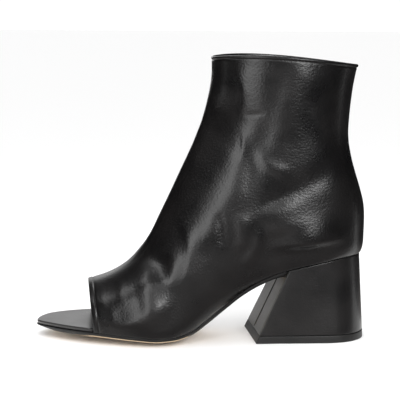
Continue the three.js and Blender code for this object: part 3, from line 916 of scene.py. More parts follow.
def distance_from(tree, position, x, y):
    """Distance from a place on the floor."""
    off = vector_maths(tree, "ADD", position, (-x, -y, 0.0))
    return node(tree, "ShaderNodeVectorMath", {0: off}, operation="LENGTH").outputs["Value"]


def attribute(tree, name):
    return node(tree, "ShaderNodeAttribute", attribute_name=name).outputs["Fac"]


def colour(red, green, blue):
    return (red, green, blue, 1.0)


def new_group(name, inputs, outputs):
    """An empty node group. inputs are (label, kind, value) and outputs (label, kind)."""
    tree = bpy.data.node_groups.new(name, "ShaderNodeTree")
    for label, kind, value in inputs:
        socket = tree.interface.new_socket(name=label, in_out="INPUT", socket_type=kind)
        if value is not None:
            socket.default_value = value
    for label, kind in outputs:
        tree.interface.new_socket(name=label, in_out="OUTPUT", socket_type=kind)
    return tree, tree.nodes.new("NodeGroupInput").outputs, tree.nodes.new("NodeGroupOutput").inputs


def leather_grain_group():
    """Pores and small cells of smooth leather. Cell Size is in metres; Height is about 0 to 1."""
    tree, given, result = new_group("Leather grain", [
        ("Position", "NodeSocketVector", None),
        ("Cell Size", "NodeSocketFloat", 0.0006),
        ("Pore Share", "NodeSocketFloat", 0.4),
    ], [("Height", "NodeSocketFloat")])
    bend_scale = 900.0
    bend = 0.0003
    pore_scale = 0.45
    scale = maths(tree, "DIVIDE", 1.0, given["Cell Size"])
    bent = node(tree, "ShaderNodeTexNoise", {
        "Vector": given["Position"], "Scale": bend_scale, "Detail": 1.0}).outputs["Color"]
    shifted = vector_maths(tree, "MULTIPLY", bent, (bend, bend, bend))
    place = vector_maths(tree, "ADD", given["Position"], shifted)
    cells = node(tree, "ShaderNodeTexVoronoi", {"Vector": place, "Scale": scale}, feature="SMOOTH_F1")
    raised = maths(tree, "SUBTRACT", 1.0, cells.outputs["Distance"])
    pores = noise(tree, given["Position"], maths(tree, "MULTIPLY", scale, pore_scale), detail=2.0)
    dotted = maths(tree, "MULTIPLY", pores, given["Pore Share"])
    tree.links.new(maths(tree, "ADD", raised, dotted), result["Height"])
    return tree


def fine_wrinkle_group():
    """Small wrinkles that run mostly level round the boot. Spacing is in metres."""
    tree, given, result = new_group("Fine wrinkles", [
        ("Position", "NodeSocketVector", None),
        ("Spacing", "NodeSocketFloat", 0.0015),
        ("Stretch", "NodeSocketFloat", 0.6),
    ], [("Height", "NodeSocketFloat")])
    stretch = {0: given["Stretch"], 1: given["Stretch"], 2: 1.0}
    along = node(tree, "ShaderNodeCombineXYZ", stretch).outputs[0]
    place = vector_maths(tree, "MULTIPLY", given["Position"], along)
    scale = maths(tree, "DIVIDE", 1.0, given["Spacing"])
    folds = node(tree, "ShaderNodeTexNoise", {
        "Vector": place, "Scale": scale, "Detail": 2.0, "Roughness": 0.55, "Distortion": 0.6}).outputs[0]
    tree.links.new(map_range(tree, folds, 0.35, 0.65), result["Height"])
    return tree


def patches_group():
    """Uneven polish and colour: wide soft patches and small flecks, each from 0 to 1."""
    tree, given, result = new_group("Uneven polish", [
        ("Position", "NodeSocketVector", None),
        ("Patch Size", "NodeSocketFloat", 0.03),
        ("Fleck Size", "NodeSocketFloat", 0.002),
    ], [("Patches", "NodeSocketFloat"), ("Flecks", "NodeSocketFloat")])
    for size, detail, low, high, label in (
        ("Patch Size", 3.0, 0.35, 0.65, "Patches"),
        ("Fleck Size", 2.0, 0.55, 0.75, "Flecks"),
    ):
        cloud = noise(tree, given["Position"], maths(tree, "DIVIDE", 1.0, given[size]), detail)
        tree.links.new(map_range(tree, cloud, low, high), result[label])
    return tree


GRAIN = leather_grain_group()
WRINKLES = fine_wrinkle_group()
POLISH = patches_group()


def start_material(name):
    """A material with its shader, and the position that its patterns follow."""
    material = bpy.data.materials.new(name)
    material.use_nodes = True
    tree = material.node_tree
    tree.nodes.clear()
    shader = tree.nodes.new("ShaderNodeBsdfPrincipled")
    output = tree.nodes.new("ShaderNodeOutputMaterial")
    tree.links.new(shader.outputs[0], output.inputs["Surface"])
    position = node(tree, "ShaderNodeTexCoord").outputs["Object"]
    return material, tree, shader, position


def put_in(tree, group, inputs):
    """Places a node group and sets its inputs."""
    return node(tree, "ShaderNodeGroup", inputs, node_tree=group).outputs


def add_bumps(tree, shader, layers):
    """Bumps over each other. layers are (height, depth in metres, strength)."""
    normal = None
    for height, depth, strength in layers:
        bump = node(tree, "ShaderNodeBump", {"Height": height, "Distance": depth, "Strength": strength})
        if normal is not None:
            tree.links.new(normal, bump.inputs["Normal"])
        normal = bump.outputs[0]
    tree.links.new(normal, shader.inputs["Normal"])


unworn_wrinkles = 0.35
worked_wrinkles = (0.35, 0.3)  # how much they grow with the wear, and what they are without it
worked_tone = 0.4
fleck_dullness = 0.2


def polished_leather(name, dark, light, rough, coat, cell, grain_depth, wrinkle_depth, worked=True):
    """Smooth finished leather. rough is (lowest, highest) and coat is (weight, roughness). With
    worked, the piece's own attribute says where its creases have rubbed it."""
    material, tree, shader, position = start_material(name)
    polish = put_in(tree, POLISH, {"Position": position})
    tone = polish["Patches"]
    wrinkled = unworn_wrinkles
    if worked:
        rubbed = attribute(tree, "worked")
        unworn = maths(tree, "MULTIPLY", tone, 1 - worked_tone)
        tone = maths(tree, "MULTIPLY_ADD", rubbed, worked_tone, unworn)
        wrinkled = maths(tree, "MULTIPLY_ADD", rubbed, *worked_wrinkles)
    tree.links.new(mix_colours(tree, tone, dark, light), shader.inputs["Base Color"])
    flecks = maths(tree, "MULTIPLY", polish["Flecks"], fleck_dullness)
    duller = maths(tree, "MAXIMUM", flecks, polish["Patches"])
    tree.links.new(blend(tree, duller, *rough), shader.inputs["Roughness"])
    shader.inputs["Coat Weight"].default_value = coat[0]
    shader.inputs["Coat Roughness"].default_value = coat[1]
    grain = put_in(tree, GRAIN, {"Position": position, "Cell Size": cell})["Height"]
    wrinkles = put_in(tree, WRINKLES, {"Position": position})["Height"]
    wrinkles = maths(tree, "MULTIPLY", wrinkles, wrinkled)
    add_bumps(tree, shader, [(wrinkles, wrinkle_depth, 1.0), (grain, grain_depth, 1.0)])
    return material


black_leather = polished_leather(
    "black_leather", colour(0.0016, 0.0015, 0.0017), colour(0.0052, 0.0043, 0.0043),
    rough=(0.26, 0.35), coat=(0.15, 0.17), cell=0.0014, grain_depth=0.00011, wrinkle_depth=0.00008)
lining_leather = polished_leather(
    "lining_leather", colour(0.013, 0.012, 0.012), colour(0.024, 0.021, 0.020),
    rough=(0.48, 0.6), coat=(0.0, 0.3), cell=0.0006, grain_depth=0.000018, wrinkle_depth=0.00004)
sock_leather = polished_leather(
    "sock_leather", colour(0.014, 0.0135, 0.014), colour(0.024, 0.022, 0.022),
    rough=(0.26, 0.34), coat=(0.15, 0.2), cell=0.0006, grain_depth=0.000015, wrinkle_depth=0.00002,
    worked=False)
heel_leather = polished_leather(
    "heel_leather", colour(0.0035, 0.0033, 0.0035), colour(0.0075, 0.0066, 0.0066),
    rough=(0.30, 0.38), coat=(0.2, 0.18), cell=0.0008, grain_depth=0.00003, wrinkle_depth=0.00009,
    worked=False)


def paint_light_on_breast(material, painted_light):
    """The heel's breast, turned towards the toe, gets a paler base colour there: painted light."""
    tree = material.node_tree
    shader = next(part for part in tree.nodes if part.type == "BSDF_PRINCIPLED")
    unpainted = shader.inputs["Base Color"].links[0].from_socket
    outward = separated(tree, node(tree, "ShaderNodeNewGeometry").outputs["Normal"])
    # faces turned towards the toe take the pale colour: painted light
    to_toe = map_range(tree, outward["X"], -0.5, -0.8)
    tree.links.new(mix_colours(tree, to_toe, unpainted, painted_light), shader.inputs["Base Color"])


# painted light on the heel's breast, as a paler base colour
paint_light_on_breast(heel_leather, colour(0.034, 0.0355, 0.033))


def sole_edge_material():
    """Edge of the leather outsole, stained black above and bare below. The piece's own attribute
    says where the stain ends."""
    pale_tan = colour(0.50, 0.38, 0.25)
    deep_tan = colour(0.42, 0.31, 0.20)
    fleck_tan = colour(0.40, 0.29, 0.19)
    black = colour(0.005, 0.0048, 0.005)
    fleck_strength = 0.35
    ragged_scale = 700.0
    raggedness = 0.5
    material, tree, shader, position = start_material("stained_edge")
    ragged = maths(tree, "SUBTRACT", noise(tree, position, ragged_scale, detail=2.0), 0.5)
    uneven = maths(tree, "MULTIPLY_ADD", ragged, raggedness, attribute(tree, "stain"))
    mask = map_range(tree, uneven, 0.42, 0.58)
    polish = put_in(tree, POLISH, {"Position": position, "Patch Size": 0.02, "Fleck Size": 0.0012})
    bare = mix_colours(tree, polish["Patches"], pale_tan, deep_tan)
    bare = mix_colours(tree, maths(tree, "MULTIPLY", polish["Flecks"], fleck_strength), bare, fleck_tan)
    tree.links.new(mix_colours(tree, mask, bare, black), shader.inputs["Base Color"])
    tree.links.new(blend(tree, mask, 0.55, 0.42), shader.inputs["Roughness"])
    layers = layered_noise(tree, position, (60.0, 60.0, 2600.0), detail=2.0)
    grain = put_in(tree, GRAIN, {"Position": position, "Cell Size": 0.0008})["Height"]
    add_bumps(tree, shader, [(layers, 0.00006, 0.6), (grain, 0.00002, 0.7)])
    return material


def rubber_material():
    """Moulded rubber of the top lift: dull, faintly cloudy, with a fine sanded side."""
    black = colour(0.005, 0.005, 0.005)
    cloudy = colour(0.010, 0.0095, 0.0092)
    material, tree, shader, position = start_material("rubber")
    polish = put_in(tree, POLISH, {"Position": position, "Patch Size": 0.015, "Fleck Size": 0.001})
    tone = mix_colours(tree, polish["Patches"], black, cloudy)
    tree.links.new(tone, shader.inputs["Base Color"])
    tree.links.new(blend(tree, polish["Flecks"], 0.46, 0.6), shader.inputs["Roughness"])
    sanded = layered_noise(tree, position, (300.0, 300.0, 3200.0), detail=3.0)
    add_bumps(tree, shader, [(sanded, 0.00005, 0.5)])
    return material


def thread_material():
    """Twisted black thread, dull against the leather."""
    twist_scale = 4000.0
    material, tree, shader, position = start_material("black_thread")
    twist = noise(tree, position, twist_scale, detail=2.0)
    tone = mix_colours(tree, twist, colour(0.004, 0.004, 0.004), colour(0.014, 0.014, 0.014))
    tree.links.new(tone, shader.inputs["Base Color"])
    tree.links.new(blend(tree, twist, 0.55, 0.75), shader.inputs["Roughness"])
    shader.inputs["Specular IOR Level"].default_value = 0.2
    add_bumps(tree, shader, [(twist, 0.00004, 0.6)])
    return material


stained_edge = sole_edge_material()
rubber = rubber_material()
black_thread = thread_material()


# Upper: outer leather with its folded edges, and the lining inside it

leather_thickness = 1.0
lining_gap = 0.1
groove_depth = 0.35
groove_width = 0.4
groove_at = 0.35  # how far its middle lies behind the folded band
collar_swell = 0.35
toe_swell = 0.1
collar_band_width = 2.4
band_end = (-0.3, 0.2)  # where the band starts and stops to fall, from its width
lining_back = 1.6  # how far the lining's edge stays below the rims
leather_rim = 0.94  # how round a rim is; 1 is a half circle
lining_rim = 0.9

# places of the rows behind a rim, in millimetres: close together on the rim and at the groove
rim_steps = (
    0, 0.05, 0.14, 0.28, 0.46, 0.7, 1.1, 1.6, 2.0, 2.2,
    2.4, 2.6, 2.85, 3.1, 3.3, 3.5, 3.75, 4.1, 4.6,
)
lining_rim_steps = (0, 0.15, 0.4, 0.8, 1.6)
seam_places = (0.0125, 0.0095, 0.0070, 0.0050, 0.0034, 0.0020, 0.0009)


def rim_distances(rows):
    """How far each row lies from the toe opening and from the collar's edge, in millimetres."""
    return rows * toe_row_depth, (collar_row - rows) * collar_row_depth


def rim_rounding(distance, half_thickness, roundness):
    """How far a side of a wall falls in towards the wall's middle at a rounded rim."""
    share = np.clip(distance / half_thickness, 0, 1)
    return half_thickness * (1 - np.sqrt(1 - roundness * (1 - share) ** 2))


def folded_edge(distance, width, swell, half_thickness):
    """Outward offset of a folded edge: rounded rim, raised band and the groove behind it."""
    off_middle = (distance - width / 2) / (width / 2)
    band = band_step / 2 * (1 - smoothstep(distance, width + band_end[0], width + band_end[1]))
    band = band + swell * np.maximum(0, 1 - off_middle ** 2)
    groove = groove_depth * np.exp(-((distance - width - groove_at) / groove_width) ** 2)
    return band - groove - rim_rounding(distance, half_thickness, leather_rim)


def shell_rows(start, end, toe_count, back_count, steps):
    """Rows with fine steps at both rims and even ones between them, through the corner row."""
    steps = np.array(steps)
    toe_rows = start + steps / toe_row_depth
    collar_rows = end - steps[::-1] / collar_row_depth
    front = even_rows(toe_rows[-1], corner_row, toe_count)
    back = even_rows(corner_row, collar_rows[0], back_count)
    return np.concatenate([toe_rows[:-1], front, back[1:], collar_rows[1:]])


def upper_leather():
    """The outer leather, with its folded edges and creases."""
    rows = shell_rows(0, collar_row, toe_count=108, back_count=74, steps=rim_steps)
    t = even_t(count=144, seam=seam_places)
    toe, collar = rim_distances(rows)
    half = (leather_thickness + band_step) / 2
    outer = folded_edge(toe, toe_band_width, toe_swell, half)
    outer += folded_edge(collar, collar_band_width, collar_swell, half)
    inner = np.full(len(rows), -leather_thickness)
    for distance in (toe, collar):
        inner += rim_rounding(distance, half, leather_rim)
    piece = wall_piece("upper_outer", rows, t, outer, inner, black_leather)
    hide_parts("upper")


def upper_lining():
    """The lining, whose edges stay a little below the folded ones."""
    start = lining_back / toe_row_depth
    end = collar_row - lining_back / collar_row_depth
    rows = shell_rows(start, end, toe_count=60, back_count=40, steps=lining_rim_steps)
    t = even_t(count=70)
    thickness = upper_wall - leather_thickness - lining_gap
    near_rim = np.minimum((rows - start) * toe_row_depth, (end - rows) * collar_row_depth)
    rounding = rim_rounding(near_rim, thickness / 2, lining_rim)
    outer = -leather_thickness - lining_gap - rounding
    inner = -upper_wall + rounding
    wall_piece("lining", rows, t, outer, inner, lining_leather)


# Stitches: short sunk pieces of thread in the grooves behind the folded edges

stitch_trials = 1201  # points along a row, from which the stitches are spaced
stitch_probe = 0.004  # how far from the row its sideways direction is taken, in rows
stitch_spacing = 2.7
stitch_length = 2.1
stitch_rings = 7
stitch_sides = 8
thread_radius = 0.22
thread_sink = 0.14  # how far the thread's middle lies under the groove's bottom
thread_taper = 4  # power by which the thread thins and dips at its ends
thread_end = 0.04  # keeps the ends from closing to a point


def along_line(line, walked, at):
    """Points of a line at the walked distances."""
    return np.stack([np.interp(at, walked, line[:, k]) for k in range(3)], axis=-1)


def stitches(name, row, span):
    """A row of black stitches along one row of the fan. span is the part of the section that it
    covers."""
    t = np.linspace(-span, span, stitch_trials)
    rows = np.full((3, len(t)), float(row)) + np.array([[-stitch_probe], [0], [stitch_probe]])
    points = wall_point(rows, np.repeat(t[None, :], 3, axis=0), -groove_depth - thread_sink)[0]
    line = points[1]
    steps = np.linalg.norm(np.diff(line, axis=0), axis=1)
    walked = np.concatenate([[0], np.cumsum(steps)])
    across = unit(points[2] - points[0])
    count = int(walked[-1] / stitch_spacing)
    share = np.linspace(-1, 1, stitch_rings)
    radius = thread_radius * np.sqrt(np.maximum(1 - share ** thread_taper, thread_end))
    sunk = thread_radius * share ** thread_taper
    verts = []
    faces = []
    for i in range(count):
        middle = walked[-1] * (i + 0.5) / count
        at = middle + stitch_length * np.linspace(-0.5, 0.5, stitch_rings)
        place = along_line(line, walked, at)
        sideways = unit(along_line(across, walked, at))
        along = unit(np.gradient(place, axis=0))
        outward = unit(np.cross(sideways, along))
        first = len(verts)
        for k in range(stitch_rings):
            for side in range(stitch_sides):
                angle = 2 * math.pi * side / stitch_sides
                ring = sideways[k] * math.cos(angle) + outward[k] * math.sin(angle)
                verts.append(place[k] + radius[k] * ring - outward[k] * sunk[k])
        for k in range(stitch_rings - 1):
            for side in range(stitch_sides):
                a = first + k * stitch_sides + side
                b = first + k * stitch_sides + (side + 1) % stitch_sides
                faces.append([a + stitch_sides, b + stitch_sides, b, a])
        last = first + (stitch_rings - 1) * stitch_sides
        faces.append([first + side for side in range(stitch_sides)])
        faces.append([last + side for side in range(stitch_sides)][::-1])
    mesh_piece(name, verts, faces, black_thread)


collar_stitch_row = collar_row - (collar_band_width + groove_at) / collar_row_depth
toe_stitch_row = (toe_band_width + groove_at) / toe_row_depth

upper_leather()
upper_lining()
stitches("collar_stitches", collar_stitch_row, span=0.998)
stitches("toe_stitches", toe_stitch_row, span=0.90)


# Insole wrapped in its sock, and the outsole

least_station = 0.004  # stations of the sole closer than this to an end are left out


def quarter_turn(i, count):
    """Angle of step i of a quarter turn in count steps."""
    return math.pi / 2 * i / count


def stations_to(end, toe_steps, middle_steps, heel_steps):
    """Stations along the sole, closer together where toe and heel turn."""
    toe = sole_edges[LATERAL]["at"][0]
    heel = sole_edges[LATERAL]["at"][-1]
    part = [toe * (1 - math.cos(quarter_turn(i, toe_steps))) for i in range(toe_steps)]
    part += [toe + (heel - toe) * i / middle_steps for i in range(middle_steps)]
    heel_turns = [math.sin(quarter_turn(i, heel_steps)) for i in range(heel_steps + 1)]
    part += [heel + (sole_end - heel) * share for share in heel_turns]
    return np.array([at for at in part if at < end - least_station] + [end])


def ring_row(at, levels, across):
    """Closed ring of points at one station: the edge profile on the lateral side, the top across,
    the medial profile, and the bottom back. levels are (inset, z function, upper side or not)."""
    points = []
    top = [level for level in levels if level[2]]
    low = [level for level in levels if not level[2]]
    shares = np.linspace(0, 1, across + 1)
    for group in (top, low):
        left = [edge_point(LATERAL, at, inset) + (height,) for inset, height, _ in group]
        right = [edge_point(MEDIAL, at, inset) + (height,) for inset, height, _ in group]
        row = [(float(x), float(y), float(height(x, -1.0))) for x, y, height in left[:-1]]
        lx, ly, height = left[-1]
        rx, ry, _ = right[-1]
        for share in shares:
            x = float(lerp(lx, rx, share))
            row.append((x, float(lerp(ly, ry, share)), float(height(x, 2 * share - 1))))
        row += [(float(x), float(y), float(h(x, 1.0))) for x, y, h in right[-2::-1]]
        points += row if group is top else row[::-1]
    return points


def loft_faces(ring_count, ring_size):
    """Faces of a loft through closed rings, open at both ends."""
    faces = []
    for i in range(ring_count - 1):
        for j in range(ring_size):
            k = (j + 1) % ring_size
            a = i * ring_size
            b = a + ring_size
            faces.append([a + j, b + j, b + k, a + k])
    return faces


def welded(points, faces):
    """Joins points that lie on each other, as at the sole's tip, and drops the faces that vanish.
    Also gives the number of the first of the joined points for each one kept."""
    digits = 4
    places = np.round(np.asarray(points, float), digits)
    _, kept, new = np.unique(places, axis=0, return_index=True, return_inverse=True)
    new = new.ravel()
    joined = []
    for face in faces:
        corners = [int(new[i]) for i in face]
        corners = [corner for k, corner in enumerate(corners) if corner != corners[k - 1]]
        if len(corners) > 2:
            joined.append(corners)
    return np.asarray(points, float)[kept], joined, kept


sock_step = 3  # how many times as wide as long its step back under the upper is
sock_turn = 6  # steps round the sock's upper edge
sock_across = 16
sock_top = (3.5, 0.05)  # where its flat top starts, and how far it has sunk there
sock_fold = 0.25  # the small fold along its lower edge, inward and upward
sock_bottom = 0.6  # where its flat underside starts


def above_feather(height, drop=0):
    """Height function of a ring that follows the feather edge."""
    return lambda x, share: feather_z(x) + height - drop


def sock():
    """The insole in its sock, with a rounded upper edge. Under the upper it is cut back to lie
    inside the wall."""
    step_end = share_at(opening_x - 2 * seam_gap)
    inside_inset = upper_wall - feather_reach + insole_clearance
    step_start = step_end - inside_inset / boot_length / sock_step
    stations = stations_to(sole_end, toe_steps=36, middle_steps=60, heel_steps=24)
    bare = [at for at in stations if at < step_start - least_station] + [step_start]
    covered = [step_end] + [at for at in stations if at > step_end + least_station]
    rounded = []
    for i in range(sock_turn + 1):
        angle = quarter_turn(i, sock_turn)
        back = insole_round * (1 - math.cos(angle))
        drop = insole_round * (1 - math.sin(angle))
        rounded.append((back, above_feather(insole_thickness, drop), True))
    levels = rounded + [
        (sock_top[0], above_feather(insole_thickness, sock_top[1]), True),
        (sock_fold, above_feather(sock_fold), False),
        (sock_bottom, above_feather(0), False),
    ]

    def ring(at, inset):
        moved = [(inset + back, height, upper) for back, height, upper in levels]
        return ring_row(at, moved, sock_across)

    rings = [ring(at, insole_inset) for at in bare] + [ring(at, inside_inset) for at in covered]
    points = [point for row in rings for point in row]
    points, faces, _ = welded(points, loft_faces(len(rings), len(rings[0])))
    piece = mesh_piece("sock", points, faces, sock_leather)
    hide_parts("insole")


turn_room = 0.2  # share of the breast's turn that the outsole keeps clear
outsole_clearance = seam_gap + turn_room * breast_turn
outsole_overlap = 0.002  # how far past the breast's top the stations go, before they are cut there
breast_station = 0.020  # stations closer than this to the breast are left out
breast_rounds = 10
outsole_across = 20

# edge of the outsole: inset, and depth as a share of the thickness there
outsole_top_rows = ((0.10, 0.05), (0.35, 0.0), (1.2, 0.0))
outsole_low_rows = (
    (0.06, 0.12),
    (0.12, 0.40),
    (0.18, 0.52),
    (0.30, 0.60),
    (0.62, 0.80),
    (outsole_bevel, 0.96),
    (1.4, 1.0),
)
outsole_flat_start = 3 * outsole_bevel
stain_end = (0.68, 0.84)  # shares of the outsole's thickness over which the black stain ends
stained_waist = (0.40, 0.50)  # shares of the length over which the whole edge turns black
stained_tip = (0.20, 0.10)


def outsole():
    """The leather outsole up to the heel's breast, with the attribute that stains its edge."""
    end = share_at(breast_top_x) + outsole_overlap
    stations = stations_to(end, toe_steps=34, middle_steps=90, heel_steps=4)
    stations = [at for at in stations if at < end - breast_station] + [end]

    def before_breast(point):
        x, y, z = point
        thickness = seat_z(x) - z
        for _ in range(breast_rounds):
            x = min(x, breast_foot_x + breast_lean * z - outsole_clearance)
            z = seat_z(x) - thickness
        return (float(x), y, float(z))

    def at_depth(share):
        return lambda x, _: lerp(seat_z(x), outsole_edge_z(x), share)

    levels = [(inset, at_depth(depth), True) for inset, depth in outsole_top_rows]
    levels += [(inset, at_depth(depth), False) for inset, depth in outsole_low_rows]
    levels.append((outsole_flat_start, outsole_bottom_z, False))
    top_count = 2 * (len(outsole_top_rows) - 1) + outsole_across + 1
    edge_count = len(outsole_low_rows) - 1
    rings = []
    for at in stations:
        ring = ring_row(at, levels, outsole_across)
        rings.append(ring[:top_count] + [before_breast(point) for point in ring[top_count:]])
    rings[-1] = [before_breast(point) for point in rings[-1]]
    size = len(rings[0])
    points = np.array([point for row in rings for point in row])
    depth = (seat_z(points[:, 0]) - points[:, 2]) / outsole_thickness
    place = share_at(points[:, 0])
    underside = np.zeros(size)
    underside[top_count + edge_count:size - edge_count] = 1
    at_edge = 1 - np.tile(underside, len(rings))
    stain = 1 - smoothstep(depth, *stain_end)
    all_black = np.maximum(smoothstep(place, *stained_waist), smoothstep(place, *stained_tip))
    stain = np.maximum(stain, all_black * at_edge)
    last = (len(rings) - 1) * size
    faces = loft_faces(len(rings), size) + [[last + i for i in range(size)][::-1]]
    points, faces, kept = welded(points, faces)
    stains = {"stain": stain[kept]}
    piece = mesh_piece("outsole_leather", points, faces, stained_edge, stains)
    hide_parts("outsole")


sock()
outsole()


# Heel: the covered block and its rubber top lift

heel_steps = 34  # from each corner of the breast to the back
corner_radius = 0.9
corner_points = 6
corner_places = 3  # points of each side that the rounded corner takes the place of

# shares across the breast from its lateral corner: close together at the join and the seam
breast_shares = (
    0.026, 0.034, 0.042, 0.050, 0.060, 0.12, 0.25, 0.38, 0.46, 0.478,
    0.488, 0.494, 0.500, 0.506, 0.514, 0.53, 0.62, 0.75, 0.88, 0.97,
)
# share, depth and width of the two lines on the breast
breast_seam = (0.494, 0.55, 0.45)
breast_join = (0.038, 0.35, 0.4)
overlap_height = 0.35  # how far the medial panel stands out beside the seam
overlap_rise = (0.494, 0.502)
overlap_fall = (0.51, 0.9)
panels_start = (0.02, 0.05)  # shares of the heel's height over which the lines and panels begin

cover_rounding = 0.35  # how far the cover's upper and lower edges are rounded in
cover_rounded = 0.5
cover_levels = (0, 0.004, 0.010, 0.02, *np.linspace(0.05, 0.95, 37), 0.975, 0.99, 0.996, 1)

# the top lift's side: height and inset
top_lift_rows = (
    (0, 0.5),
    (0.12, 0.2),
    (0.35, 0.05),
    (0.7, 0),
    (2.7, 0),
    (4.8, 0),
    (5.2, 0.04),
    (5.4, 0.15),
    (5.5, 0.4),
)


def heel_ring(heights, lip, inset, t, breast):
    """One ring round the heel. heights are those of each side's points; breast are (share from the
    lateral corner, how far it stands out of the breast)."""
    sides = {}
    for side in (LATERAL, MEDIAL):
        x, y = heel_point(side, t, heights[side])
        sides[side] = np.stack([x, y + side * lip, heights[side]], axis=-1)
    lateral = sides[LATERAL]
    medial = sides[MEDIAL]

    def rounded(corner, toward_first, toward_second):
        a = corner + corner_radius * unit(toward_first - corner)
        b = corner + corner_radius * unit(toward_second - corner)
        shares = np.linspace(0, 1, corner_points)
        return [lerp(lerp(a, corner, s), lerp(corner, b, s), s) for s in shares]

    ring = rounded(lateral[0], medial[0], lateral[corner_places - 1])
    ring += list(lateral[corner_places:-1])
    ring.append((lateral[-1] + medial[-1]) / 2)
    ring += list(medial[corner_places:-1][::-1])
    ring += rounded(medial[0], medial[corner_places - 1], lateral[0])
    across = unit(medial[0] - lateral[0])
    outward = unit(np.array([-across[1], across[0], 0.0]))
    if outward[0] > 0:
        outward = -outward
    for share, out in breast[::-1]:
        ring.append(lerp(lateral[0], medial[0], share) + outward * out)
    ring = np.array(ring)
    if inset:
        toward = (ring.mean(axis=0) - ring) * [1, 1, 0]
        ring = ring + unit(toward) * inset
    return ring


def heel_stations():
    return np.array([math.sin(quarter_turn(i, heel_steps)) for i in range(heel_steps + 1)])


def cap_faces(first, size, upward):
    """Closes a ring across, from its lateral points to its medial ones."""
    breast_count = len(breast_shares)
    faces = []
    for i in range((size - breast_count + 1) // 2 - 1):
        a = first + i
        b = first + i + 1
        c = first + (size - breast_count) - 2 - i
        d = first + (size - breast_count) - 1 - i
        if b == c:
            face = [a, b, d]
        else:
            face = [a, b, c, d]
        faces.append(face if upward else face[::-1])
    breast = [first + size - 1 - k for k in range(breast_count)]
    face = [first] + breast + [first + size - breast_count - 1]
    faces.append(face[::-1] if upward else face)
    return faces


def heel_piece(name, rings, material, replaced):
    """Closes rings one above the other, lowest first, into one piece."""
    size = len(rings[0])
    faces = [face[::-1] for face in loft_faces(len(rings), size)]
    faces += cap_faces(0, size, upward=False)
    faces += cap_faces((len(rings) - 1) * size, size, upward=True)
    piece = mesh_piece(name, np.concatenate(rings), faces, material)
    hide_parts(replaced)


def breast_line(share, place, depth, width):
    """Depth of a pressed line down the breast."""
    return -depth * math.exp(-((share - place) * heel_base_width / width) ** 2)


def breast_profile():
    """How far the cover stands out of the breast, from its lateral to its medial corner."""
    profile = []
    for share in breast_shares:
        rise = float(smoothstep(share, *overlap_rise))
        fall = float(1 - smoothstep(share, *overlap_fall))
        overlap = overlap_height * rise * fall
        seam = breast_line(share, *breast_seam)
        join = breast_line(share, *breast_join)
        profile.append((share, seam + overlap + join))
    return profile


def heel_cover():
    """The leather cover of the heel's block."""
    t = heel_stations()
    low = top_lift_thickness + seam_gap
    high = {side: heel_seat(side, t) for side in (LATERAL, MEDIAL)}
    profile = breast_profile()
    rings = []
    for level in cover_levels:
        edge = min(level, 1 - level) * heel_height
        inset = cover_rounding * (1 - math.sqrt(1 - (1 - min(edge / cover_rounded, 1)) ** 2))
        shown = float(smoothstep(level, *panels_start))
        breast = [(share, out * shown) for share, out in profile]
        heights = {side: lerp(low, high[side], level) for side in high}
        rings.append(heel_ring(heights, 0, inset, t, breast))
    heel_piece("heel_cover", rings, heel_leather, "heel")


def top_piece():
    """The rubber top lift."""
    t = heel_stations()
    breast = [(share, 0.0) for share in breast_shares]
    rings = []
    for z, inset in top_lift_rows:
        level = np.full(t.shape, float(z))
        rings.append(heel_ring({LATERAL: level, MEDIAL: level}, top_lift_lip, inset, t, breast))
    heel_piece("top_piece", rings, rubber, "top_lift")


heel_cover()
top_piece()


# Studio: pale floor, soft boxes, and the camera at the photograph's angle

# the floor as the polished leather mirrors it is a painted reflection: pale under the boot,
# a painted pool of light on each side, painted shade between them and darkest far away.
# Distances are in metres, where it starts and where it is full
floor_size = 30.0
painted_dim_floor = colour(0.22, 0.205, 0.20)
painted_far_floor = colour(0.03, 0.03, 0.03)
floor_far = (0.22, 0.42)
floor_under = (0.055, 0.025)
pool_tint = (1, 0.97, 0.96)
painted_light_pools = (
    # middle in x and y, radii, brightness
    ((-0.17, -0.40), (0.34, 0.12), 0.52),
    ((-0.02, 0.44), (0.34, 0.14), 0.70),
)


def stage_floor():
    """Pale floor. Its colour in reflections is painted: painted shade, dimmer far away, with painted
    pools of light beside the boot and a pale patch under it.
    """
    material, tree, shader, position = start_material("floor")
    speckle = noise(tree, position, scale=900.0, detail=2.0)
    pale = mix_colours(tree, speckle, colour(0.93, 0.93, 0.93), colour(0.96, 0.96, 0.96))
    # glossy rays see the painted reflection: painted shade and painted pools of light, not the pale
    # colour
    mirrored = node(tree, "ShaderNodeLightPath").outputs["Is Glossy Ray"]
    far = map_range(tree, distance_from(tree, position, 0.0, 0.0), *floor_far)
    dim = mix_colours(tree, far, painted_dim_floor, painted_far_floor)
    for (x, y), radii, bright in painted_light_pools:
        inside = map_range(tree, distance_from(tree, position, x, y), *radii)
        dim = mix_colours(tree, inside, dim, colour(*(bright * part for part in pool_tint)))
    across = maths(tree, "ABSOLUTE", separated(tree, position)["Y"])
    under = map_range(tree, across, *floor_under)
    dim = mix_colours(tree, under, dim, colour(0.95, 0.95, 0.94))
    tree.links.new(mix_colours(tree, mirrored, pale, dim), shader.inputs["Base Color"])
    shader.inputs["Roughness"].default_value = 0.8
    shader.inputs["Specular IOR Level"].default_value = 0.1
    corners = [(-1, -1), (1, -1), (1, 1), (-1, 1)]
    mesh = bpy.data.meshes.new("floor")
    mesh.from_pydata([(x * floor_size, y * floor_size, 0) for x, y in corners], [], [(0, 1, 2, 3)])
    mesh.materials.append(material)
    floor = bpy.data.objects.new("floor", mesh)
    bpy.context.collection.objects.link(floor)


